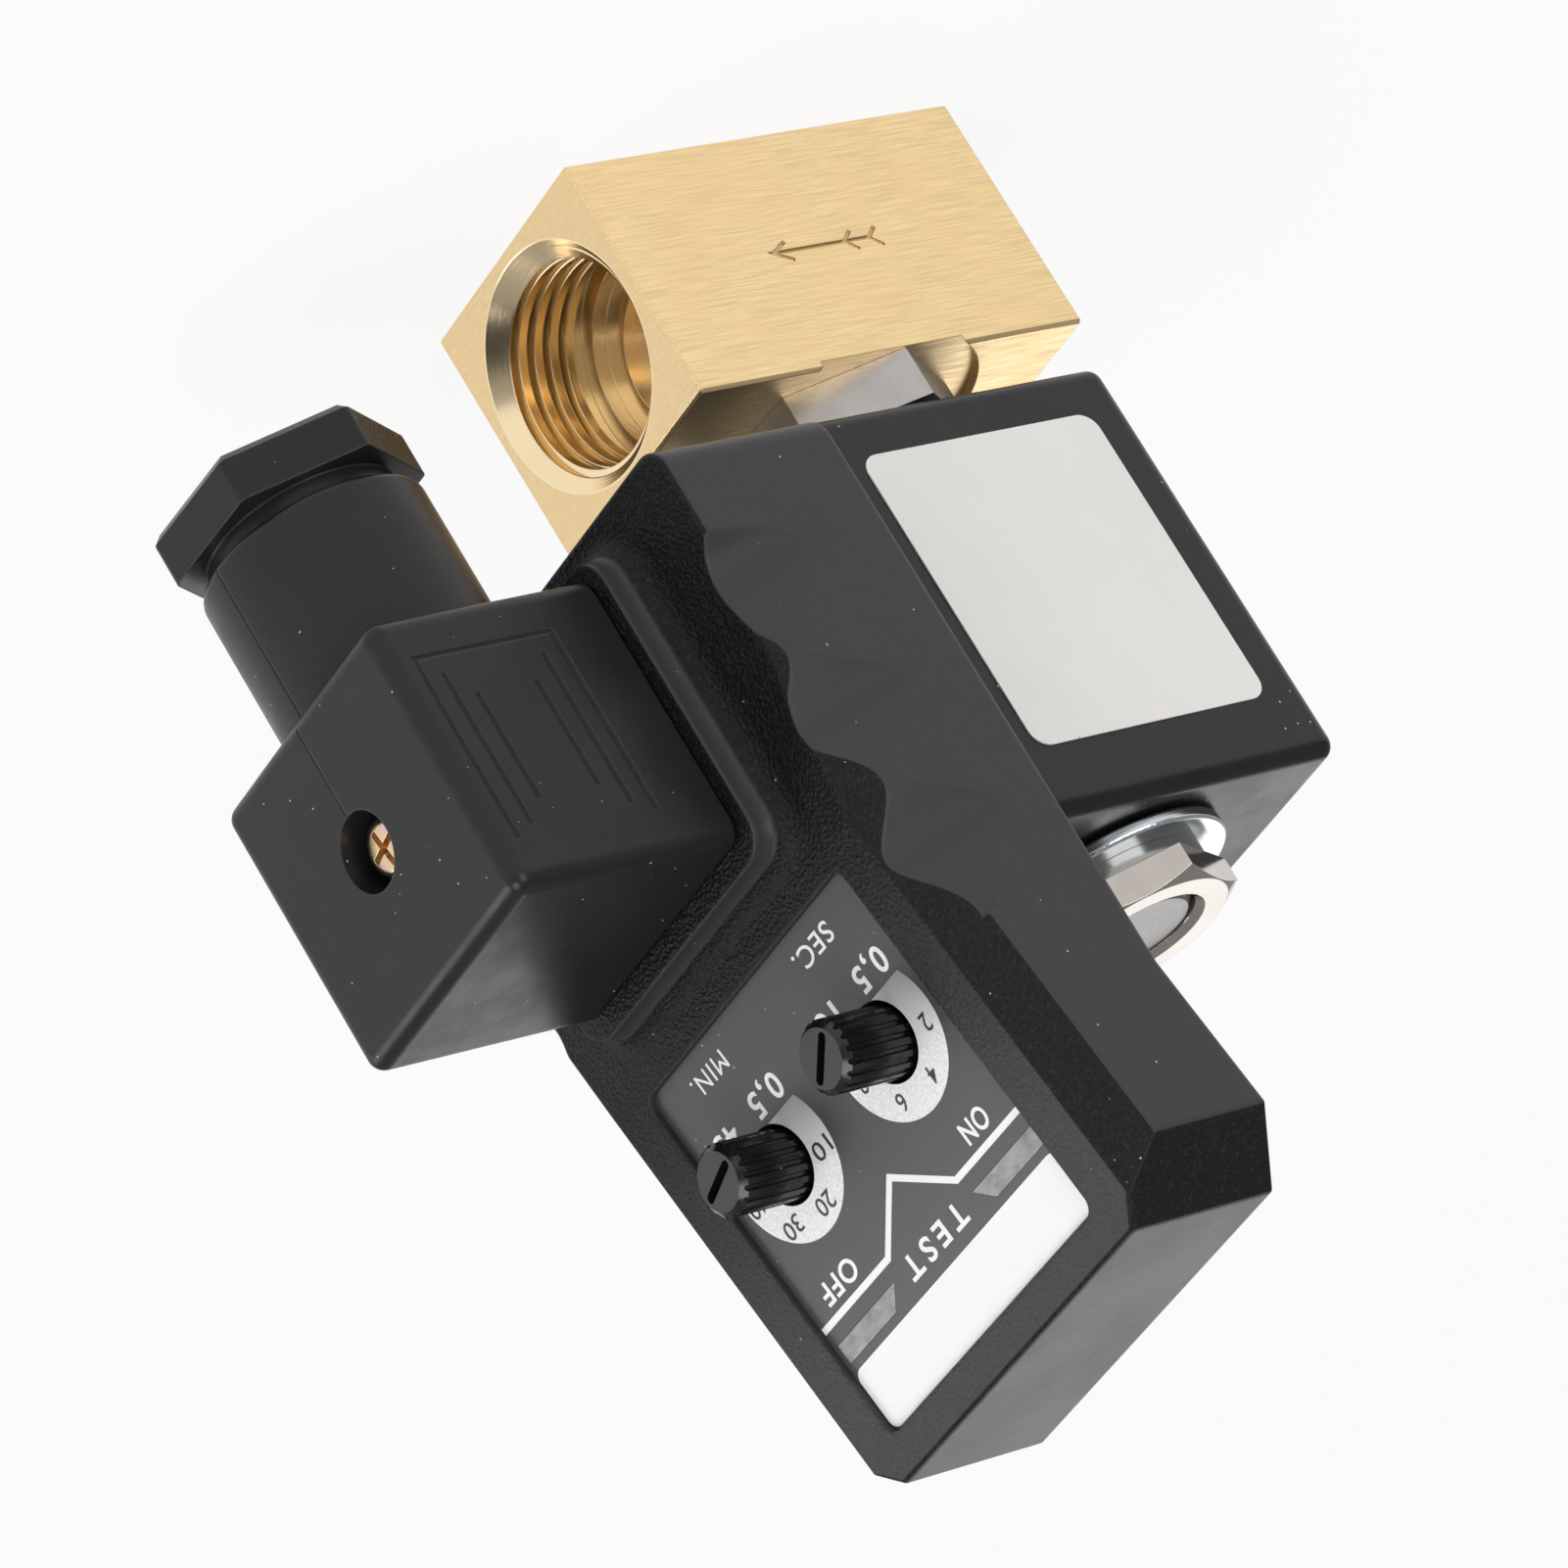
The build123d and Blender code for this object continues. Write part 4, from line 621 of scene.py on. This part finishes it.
def timer_finish():
    """Black housing: leather grain in front and on the cut corners, smooth sides, and a painted sheen that
    makes the front paler at the head.
    """
    base = tuple(colours().timer)
    made = Finish("Timer Plastic", base, 0.4)
    tree = made.tree
    side = surface_side(tree)
    front = spread(tree, side["X"], 0.36, 0.56)
    corner = calc(
        tree,
        "MULTIPLY",
        spread(tree, calc(tree, "ABSOLUTE", side["Y"]), 0.45, 0.6),
        spread(tree, side["Z"], 0.45, 0.6),
    )
    place = object_place(tree)
    corner = calc(tree, "MULTIPLY", corner, calc(tree, "GREATER_THAN", place["Z"], CORNER_FOOT))
    grained = calc(tree, "MAXIMUM", front, corner)
    grain = use(tree, "Moulded Grain", "Height", Cells=2700.0, Softness=0.25)
    smooth = noise(tree, object_point(tree), 700.0, 3.0)
    faint = calc(tree, "MULTIPLY", smooth, 0.18)
    height = add(tree, "ShaderNodeMix", {0: grained, 2: faint, 3: grain}).outputs[0]
    edge = use(tree, "Edge Band", "Edge", Radius=0.35 * MM, Gain=3.0)
    body = blend_colour(tree, grained, (0.043, 0.040, 0.042), base)
    # Painted sheen: the front plane is painted paler towards the head, in place of the lamp light it
    # reflects
    sheen_rise = spread(tree, place["Z"], FRONT_SHEEN_FOOT, FRONT_SHEEN_HEAD)
    painted_sheen = calc(tree, "MULTIPLY", spread(tree, side["X"], 0.93, 0.97), sheen_rise)
    body = blend_colour(tree, painted_sheen, body, (0.052, 0.050, 0.053))
    fleck = noise(tree, object_point(tree), 2600.0, 3.0, 0.7)
    body = blend_colour(tree, spread(tree, fleck, 0.5, 0.75, 0.0, 0.35), body, (0.050, 0.048, 0.052))
    body = blend_colour(tree, calc(tree, "MULTIPLY", edge, 0.8), body, (0.085, 0.085, 0.090))
    cloudy = use(tree, "Broad Mottle", "Value", Scale=70.0)
    specks = use(tree, "Dust Specks", "Specks", Cells=560.0, Size=0.04, Amount=0.5)
    made.set(**{"Base Color": blend_colour(tree, specks, body, (0.40, 0.40, 0.40))})
    rough = calc(tree, "ADD", calc(tree, "MULTIPLY", grained, 0.2), calc(tree, "MULTIPLY", cloudy, 0.06))
    made.set(Roughness=calc(tree, "ADD", rough, 0.32))
    made.set(**{"Specular IOR Level": 0.24})
    return made.bump(height, 0.14 * MM, 1.0, 0.7 * MM)


def film_finish():
    """Matt charcoal film with a fine tooth and a painted sheen that makes it paler towards the head."""
    base = tuple(colours().film)
    made = Finish("Front Film", base, 0.42)
    tree = made.tree
    tooth = noise(tree, object_point(tree), 5200.0, 4.0, 0.7)
    paler = tuple(1.35 * channel for channel in base)
    shade = blend_colour(tree, spread(tree, tooth, 0.35, 0.7), base, paler)
    # Painted sheen: the film is painted paler towards the head, in place of the lamp light it reflects
    sheen_rise = spread(tree, object_place(tree)["Z"], FILM_SHEEN_FOOT, FILM_SHEEN_HEAD)
    shade = blend_colour(tree, sheen_rise, shade, (0.082, 0.080, 0.088))
    specks = use(tree, "Dust Specks", "Specks", Cells=560.0, Size=0.045, Amount=0.5)
    made.set(**{"Base Color": blend_colour(tree, specks, shade, (0.35, 0.35, 0.36))})
    made.set(Roughness=spread(tree, tooth, 0.3, 0.7, 0.36, 0.5))
    return made.bump(tooth, 0.015 * MM, 0.9)


def window_finish():
    """Cloudy grey lamp window with streaks."""
    made = Finish("Lamp Window", (0.30, 0.30, 0.31), 0.3)
    tree = made.tree
    streak = noise(tree, object_point(tree, (520.0, 520.0, 900.0), turn=(0.5, 0.0, 0.0)), 1.0, 4.0, 0.7)
    shade = blend_colour(tree, spread(tree, streak, 0.25, 0.75), (0.17, 0.17, 0.175), (0.34, 0.34, 0.345))
    made.set(**{"Base Color": shade})
    return made.bump(streak, 0.03 * MM, 0.6)


def board_finish():
    """Green solder mask with copper tracks under it."""
    made = Finish("Circuit Board", (0.02, 0.16, 0.07), 0.3)
    tree = made.tree
    flat = object_point(tree, turn=(0.0, math.pi / 2, 0.0))
    tracks = add(tree, "ShaderNodeTexBrick", {"Vector": flat, "Scale": 260.0}).outputs["Fac"]
    made.set(**{"Base Color": blend_colour(tree, tracks, (0.02, 0.16, 0.07), (0.05, 0.26, 0.12))})
    return made.bump(tracks, 0.02 * MM, 0.6)


class VALVE_OT_timer(bpy.types.Operator):
    """Finish the timer's housing, cover, film, windows and circuit"""

    bl_idname = "valve.timer"
    bl_label = "Timer"

    def execute(self, context):
        dress(timer_finish(), "timer_housing")
        dress(plastic("Cover Plastic", (0.016, 0.016, 0.018), 0.42, 0.05, 2100.0), "timer_cover")
        dress(film_finish(), "front_film")
        dress(window_finish(), "lamp_windows")
        dress(board_finish(), "circuit_board")
        screws = drawn_metal("Small Screws", (0.62, 0.63, 0.65), 0.2, (900.0, 2600.0, 2600.0), 0.004)
        dress(screws, "board_screws")
        resin = plastic("Chip Resin", (0.02, 0.02, 0.02), 0.5, 0.01, dust=0.0)
        dress(resin, "timing_chip", "power_switch", "test_switch")
        dress(plastic("Capacitor Resin", (0.55, 0.34, 0.04), 0.3, dust=0.0, wear=0.0), "supply_capacitor")
        dress(plastic("Resistor Body", (0.04, 0.12, 0.36), 0.35, dust=0.0), "rotary_resistors")
        dress(plastic("Lamp Resin", (0.55, 0.03, 0.02), 0.12, dust=0.0), "indicator_lamps")
        dress(plastic("Button Plastic", (0.03, 0.03, 0.03), 0.4, dust=0.0), "test_button")
        return {"FINISHED"}


# Print on the timer's front


def closed_print(shape, name, finish, thickness):
    """Turns a flat bmesh face in panel coordinates into a thin closed piece on the film."""
    shape.normal_update()
    shape.faces.ensure_lookup_table()
    if shape.faces[0].normal.z < 0:
        bmesh.ops.reverse_faces(shape, faces=shape.faces[:])
    raised = bmesh.ops.extrude_face_region(shape, geom=shape.faces[:])
    tops = [part for part in raised["geom"] if isinstance(part, bmesh.types.BMVert)]
    bmesh.ops.translate(shape, vec=(0, 0, thickness + PRINT_SINK), verts=tops)
    bmesh.ops.recalc_face_normals(shape, faces=shape.faces[:])
    mesh = bpy.data.meshes.new(name)
    shape.to_mesh(mesh)
    shape.free()
    print_piece(mesh, name, finish)


def print_piece(mesh, name, finish):
    """Places a finished print mesh on the film and lets it ride with the timer."""
    mesh.transform(plate_place(-PRINT_SINK))
    mesh.materials.clear()
    mesh.materials.append(finish.material)
    piece = bpy.data.objects.new(name, mesh)
    bpy.context.scene.collection.objects.link(piece)
    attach(piece, "coil_unit")


def line_print(name, finish, points, width, thickness):
    """A line of even width through the given points, with mitred corners."""
    shape = bmesh.new()
    rails = []
    for index, point in enumerate(points):
        here = Vector(point)
        before = Vector(points[max(index - 1, 0)])
        after = Vector(points[min(index + 1, len(points) - 1)])
        first = (here - before).normalized() if index else (after - here).normalized()
        second = (after - here).normalized() if index < len(points) - 1 else first
        mitre = Vector((-(first + second).y, (first + second).x)).normalized()
        reach = width / 2 / max(mitre.dot(Vector((-first.y, first.x))), 0.3)
        rails.append([shape.verts.new((*(here + mitre * side * reach), 0)) for side in (1, -1)])
    for start, end in zip(rails, rails[1:]):
        shape.faces.new((start[0], start[1], end[1], end[0]))
    closed_print(shape, name, finish, thickness)


def round_print(name, finish, low, high, corner, thickness):
    """A rectangle with rounded corners between two points."""
    shape = bmesh.new()
    bmesh.ops.create_grid(shape, x_segments=1, y_segments=1, size=0.5)
    size = Vector(high) - Vector(low)
    middle = (Vector(high) + Vector(low)) / 2
    bmesh.ops.scale(shape, vec=(size.x, size.y, 1), verts=shape.verts[:])
    bmesh.ops.translate(shape, vec=(middle.x, middle.y, 0), verts=shape.verts[:])
    bmesh.ops.bevel(
        shape,
        geom=shape.verts[:],
        offset=corner,
        offset_type="OFFSET",
        segments=8,
        profile=0.5,
        affect="VERTICES",
        material=-1,
    )
    closed_print(shape, name, finish, thickness)


def scale_print(name, finish, centre, outer, inner, cut, thickness):
    """A round scale, cut straight along its foot."""
    shape = bmesh.new()
    loops = []
    for radius in (outer, inner):
        made = bmesh.ops.create_circle(shape, segments=128, radius=radius)["verts"]
        loops.append({edge for vert in made for edge in vert.link_edges})
    bmesh.ops.bridge_loops(shape, edges=list(loops[0] | loops[1]))
    bmesh.ops.translate(shape, vec=(*centre, 0), verts=shape.verts[:])
    bmesh.ops.bisect_plane(
        shape,
        geom=shape.verts[:] + shape.edges[:] + shape.faces[:],
        plane_co=(0, cut, 0),
        plane_no=(0, -1, 0),
        clear_outer=True,
    )
    closed_print(shape, name, finish, thickness)


def word_print(name, finish, words, low, high, thickness, weight=0.0, spacing=1.0):
    """Printed words that fill the box between two points."""
    text = bpy.data.curves.new(name, "FONT")
    text.body = words
    text.size = 1.0
    text.offset = weight
    text.space_character = spacing
    text.resolution_u = 6
    text.extrude = 0.5
    maker = bpy.data.objects.new(name, text)
    bpy.context.scene.collection.objects.link(maker)
    bpy.context.view_layer.update()
    drawn = maker.evaluated_get(bpy.context.evaluated_depsgraph_get())
    mesh = bpy.data.meshes.new_from_object(drawn)
    bpy.data.objects.remove(maker)
    bpy.data.curves.remove(text)
    corners = [vert.co for vert in mesh.vertices]
    least = Vector(map(min, *corners))
    most = Vector(map(max, *corners))
    size = Vector(high) - Vector(low)
    wide, tall = size.x / (most.x - least.x), size.y / (most.y - least.y)
    grow = Matrix.Diagonal((wide, tall, thickness + PRINT_SINK, 1.0))
    mesh.transform(Matrix.Translation((*low, 0)) @ grow @ Matrix.Translation(-least))
    mesh.name = name
    shape = bmesh.new()
    shape.from_mesh(mesh)
    bmesh.ops.remove_doubles(shape, verts=shape.verts[:], dist=0.0005 * MM)
    bmesh.ops.recalc_face_normals(shape, faces=shape.faces[:])
    shape.to_mesh(mesh)
    shape.free()
    print_piece(mesh, name, finish)


def ink_finish(name, base, roughness=0.45):
    """Screen-printed ink that lets a little of the film's tooth through."""
    made = Finish(name, base, roughness)
    tree = made.tree
    tooth = noise(tree, object_point(tree), 5200.0, 3.0, 0.7)
    thin = tuple(0.86 * channel for channel in base)
    made.set(**{"Base Color": blend_colour(tree, spread(tree, tooth, 0.55, 0.8), base, thin)})
    made.set(Roughness=spread(tree, tooth, 0.3, 0.7, roughness - 0.06, roughness + 0.1))
    return made.bump(tooth, 0.008 * MM, 0.8)


def scale_finish(name, centre):
    """Silver-white scale with a painted shadow that darkens it towards its start at the lower left."""
    white = tuple(colours().ink_white)
    made = Finish(name, white, 0.42)
    tree = made.tree
    settings = bpy.context.scene.valve_print
    height = PLATE_FOOT[2] + centre[1] * math.cos(PLATE_TILT)
    point = object_place(tree, (0.0, -centre[0], -height))
    # Painted shadow: towards the scale's start and on its left side the white is darkened towards grey
    slide = calc(tree, "ADD", calc(tree, "MULTIPLY", point["Y"], 0.35), point["Z"])
    start = spread(tree, slide, -0.9 * settings.ring_outer, 0.35 * settings.ring_outer, 1.0, 0.0)
    left = spread(tree, point["Y"], -0.2 * settings.ring_inner, -settings.ring_inner)
    shade = calc(tree, "MULTIPLY", start, left)
    tooth = noise(tree, object_point(tree), 4200.0, 3.0, 0.8)
    body = blend_colour(tree, shade, white, (0.24, 0.24, 0.25))
    grain = calc(tree, "MULTIPLY", spread(tree, tooth, 0.4, 0.7), 0.7)
    made.set(**{"Base Color": blend_colour(tree, grain, body, (0.50, 0.50, 0.52), "DARKEN")})
    made.set(Roughness=spread(tree, tooth, 0.3, 0.7, 0.38, 0.52))
    return made.bump(tooth, 0.01 * MM, 0.9)


class VALVE_OT_print(bpy.types.Operator):
    """Print the scales, words, line and blank band on the timer's front"""

    bl_idname = "valve.print"
    bl_label = "Front Print"

    def execute(self, context):
        own = context.scene.valve_print
        white = ink_finish("White Ink", tuple(colours().ink_white))
        dark = ink_finish("Dark Ink", tuple(colours().ink_dark), 0.5)
        for name, side in (("seconds", -1), ("minutes", 1)):
            centre = (side * own.knob_spread, own.knob_up)
            finish = scale_finish(name.title() + " Scale", centre)
            outer, inner = own.ring_outer, own.ring_inner
            scale_print("scale_" + name, finish, centre, outer, inner, own.ring_cut, own.ink)
        points = [(across * MM, height * MM) for across, height in PRINT_LINE]
        line_print("print_line", white, points, own.line, own.ink)
        low, high = (-own.band_half, own.band_low), (own.band_half, own.band_high)
        round_print("writing_band", white, low, high, own.band_corner, own.ink)
        for name, body, left, foot, right, head, weight, spacing in PRINT_WORDS:
            low, high = (left * MM, foot * MM), (right * MM, head * MM)
            word_print(name, white, body, low, high, own.ink, weight, spacing)
        for body, across, height in PRINT_DIGITS:
            half = DIGIT_HALF_WIDTH if len(body) == 1 else PAIR_HALF_WIDTH
            low = ((across - half) * MM, (height - DIGIT_HALF_HEIGHT) * MM)
            high = ((across + half) * MM, (height + DIGIT_HALF_HEIGHT) * MM)
            name = "digit_" + ("seconds_" if across < 0 else "minutes_") + body
            word_print(name, dark, body, low, high, 1.6 * own.ink, 0.006)
        return {"FINISHED"}


# Knobs


def knob_finish():
    """Glossy black plastic, scuffed and dusty, with duller tips."""
    base = tuple(colours().knob)
    made = Finish("Knob Plastic", base, 0.22)
    tree = made.tree
    ahead = object_place(tree)["X"]
    facing = surface_side(tree)["X"]
    near = spread(tree, ahead, KNOB_TIP - 0.12 * MM, KNOB_TIP - 0.02 * MM)
    tip = calc(tree, "MULTIPLY", near, spread(tree, facing, 0.94, 0.99))
    tooth = noise(tree, object_point(tree), 3200.0, 3.0)
    scuff = noise(tree, object_point(tree, (400.0, 2600.0, 2600.0)), 1.0, 3.0, 0.7)
    body = blend_colour(tree, spread(tree, scuff, 0.6, 0.8), base, (0.03, 0.03, 0.032))
    body = blend_colour(tree, tip, body, (0.034, 0.034, 0.037))
    specks = use(tree, "Dust Specks", "Specks", Cells=700.0, Size=0.06, Amount=0.15)
    made.set(**{"Base Color": blend_colour(tree, specks, body, (0.35, 0.35, 0.35))})
    made.set(Roughness=add(tree, "ShaderNodeMix", {0: tip, 2: 0.2, 3: 0.5}).outputs[0])
    return made.bump(calc(tree, "ADD", tooth, scuff), 0.01 * MM, 0.8, 0.06 * MM)


class VALVE_OT_knobs(bpy.types.Operator):
    """Finish the two setting knobs"""

    bl_idname = "valve.knobs"
    bl_label = "Knobs"

    def execute(self, context):
        dress(knob_finish(), "knob_seconds", "knob_minutes")
        return {"FINISHED"}


# Plug


def long_screw_finish():
    """Yellow zinc with rose and green tints."""
    made = Finish("Yellow Zinc", (0.74, 0.58, 0.36), 0.22, 1.0)
    tree = made.tree
    tint = noise(tree, object_point(tree), 420.0, 3.0, 0.6)
    body = blend_colour(tree, spread(tree, tint, 0.35, 0.5), (0.80, 0.50, 0.52), (0.78, 0.62, 0.36))
    body = blend_colour(tree, spread(tree, tint, 0.52, 0.66), body, (0.56, 0.66, 0.46))
    made.set(**{"Base Color": body})
    return made.bump(noise(tree, object_point(tree), 2600.0, 2.0), 0.01 * MM, 0.8, 0.1 * MM)


class VALVE_OT_plug(bpy.types.Operator):
    """Finish the cable plug, its gland and the long screw"""

    bl_idname = "valve.plug"
    bl_label = "Cable Plug"

    def execute(self, context):
        base = tuple(colours().plug)
        dress(plastic("Plug Plastic", base, 0.34, 0.006, 1500.0, 0.5, 0.3, 0.05, 0.3), "plug_housing")
        dress(plastic("Gland Plastic", base, 0.30, 0.005, 1500.0, 0.4, 0.3, 0.05, 0.26), "gland_nut")
        dress(plastic("Block Plastic", (0.03, 0.03, 0.03), 0.45, dust=0.0), "terminal_block")
        clamps = drawn_metal("Clamp Screws", (0.62, 0.63, 0.65), 0.2, (900.0, 2600.0, 2600.0), 0.004)
        dress(clamps, "terminal_screws", "gland_washer")
        dress(long_screw_finish(), "fixing_screw")
        return {"FINISHED"}


# Stage


def floor_paint(own):
    """White paint that partly glows where it is seen, so that the floor joins the white background."""
    paint = Finish("Floor Paint", own.floor, 0.9)
    tree = paint.tree
    path = add(tree, "ShaderNodeLightPath").outputs
    seen = calc(tree, "MAXIMUM", path["Is Camera Ray"], path["Is Glossy Ray"])
    seen = calc(tree, "MAXIMUM", seen, path["Is Transmission Ray"])
    glow = add(tree, "ShaderNodeEmission", {"Color": (1.0, 1.0, 1.0, 1.0), "Strength": 1.0}).outputs[0]
    share = calc(tree, "MULTIPLY", seen, own.share)
    mixed = add(tree, "ShaderNodeMixShader", {0: share, 1: paint.shader.outputs[0], 2: glow}).outputs[0]
    tree.links.new(mixed, tree.nodes["Material Output"].inputs["Surface"])
    return paint.material


def lay_floor(own):
    """A flat sheet just under the valve."""
    shape = bmesh.new()
    bmesh.ops.create_grid(shape, x_segments=1, y_segments=1, size=FLOOR_REACH)
    bmesh.ops.translate(shape, vec=(0, 0, cad_box[0].z - FLOOR_GAP), verts=shape.verts[:])
    mesh = bpy.data.meshes.new("floor")
    shape.to_mesh(mesh)
    shape.free()
    floor = bpy.data.objects.new("floor", mesh)
    bpy.context.scene.collection.objects.link(floor)
    mesh.materials.append(floor_paint(own))


def light_room(own):
    """Plain white light from all round."""
    world = bpy.data.worlds.new("room")
    world.use_nodes = True
    tree = world.node_tree
    tree.nodes.clear()
    room = add(tree, "ShaderNodeBackground", {"Color": (1.0, 1.0, 1.0, 1.0), "Strength": own.fill})
    out = add(tree, "ShaderNodeOutputWorld")
    tree.links.new(room.outputs[0], out.inputs["Surface"])
    bpy.context.scene.world = world


def soft_lamp(name, place, size, watts):
    """A large square lamp aimed at the valve."""
    lamp = bpy.data.lights.new(name, "AREA")
    lamp.shape = "SQUARE"
    lamp.size = size
    lamp.energy = watts
    made = bpy.data.objects.new(name, lamp)
    made.location = place
    made.rotation_euler = (Vector(LAMP_AIM) - Vector(place)).to_track_quat("-Z", "Y").to_euler()
    bpy.context.scene.collection.objects.link(made)


def place_camera():
    """The camera that took the photograph, as solved from the valve's edges."""
    camera = bpy.data.cameras.new("camera")
    camera.lens = LENS
    camera.sensor_width = SENSOR
    camera.clip_start = 0.05
    camera.clip_end = 20.0
    eye = bpy.data.objects.new("camera", camera)
    eye.location = EYE_PLACE
    eye.rotation_euler = tuple(math.radians(turn) for turn in EYE_TURN)
    bpy.context.scene.collection.objects.link(eye)
    bpy.context.scene.camera = eye


class VALVE_OT_stage(bpy.types.Operator):
    """Set up the floor, the lamps, the surroundings and the camera"""

    bl_idname = "valve.stage"
    bl_label = "Stage"

    def execute(self, context):
        own = context.scene.valve_stage
        lay_floor(own)
        light_room(own)
        soft_lamp("key_lamp", (0.75, -0.10, 0.75), 0.6, own.key)
        soft_lamp("side_lamp", (0.10, -0.95, 0.45), 0.7, own.side)
        soft_lamp("back_lamp", (-0.66, 0.68, 0.42), 0.5, own.back)
        soft_lamp("right_lamp", (0.62, 0.62, 0.24), 0.4, own.right)
        place_camera()
        context.scene.view_settings.view_transform = "Standard"
        return {"FINISHED"}


# Panel and run


class VALVE_PT_panel(bpy.types.Panel):
    """Lists the steps that finish the valve"""

    bl_idname = "VALVE_PT_panel"
    bl_label = "Drain Valve"
    bl_space_type = "VIEW_3D"
    bl_region_type = "UI"
    bl_category = "Drain Valve"

    def draw(self, context):
        for step in STEPS:
            self.layout.operator(step.bl_idname)
        for settings in (context.scene.valve_print, context.scene.valve_colours, context.scene.valve_stage):
            box = self.layout.box()
            for name in settings.__annotations__:
                box.prop(settings, name)


STEPS = (
    VALVE_OT_stage,
    VALVE_OT_brass,
    VALVE_OT_armature,
    VALVE_OT_coil,
    VALVE_OT_timer,
    VALVE_OT_print,
    VALVE_OT_knobs,
    VALVE_OT_plug,
)
SETTINGS = (PrintSettings, ColourSettings, StageSettings)


def register():
    for item in (*SETTINGS, *STEPS, VALVE_PT_panel):
        bpy.utils.register_class(item)
    bpy.types.Scene.valve_print = PointerProperty(type=PrintSettings)
    bpy.types.Scene.valve_colours = PointerProperty(type=ColourSettings)
    bpy.types.Scene.valve_stage = PointerProperty(type=StageSettings)


def unregister():
    del bpy.types.Scene.valve_stage
    del bpy.types.Scene.valve_colours
    del bpy.types.Scene.valve_print
    for item in reversed((*SETTINGS, *STEPS, VALVE_PT_panel)):
        bpy.utils.unregister_class(item)


def main():
    """Registers the add-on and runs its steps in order."""
    register()
    make_groups()
    for step in STEPS:
        area, action = step.bl_idname.split(".")
        getattr(getattr(bpy.ops, area), action)()


if __name__ == "__main__":
    main()
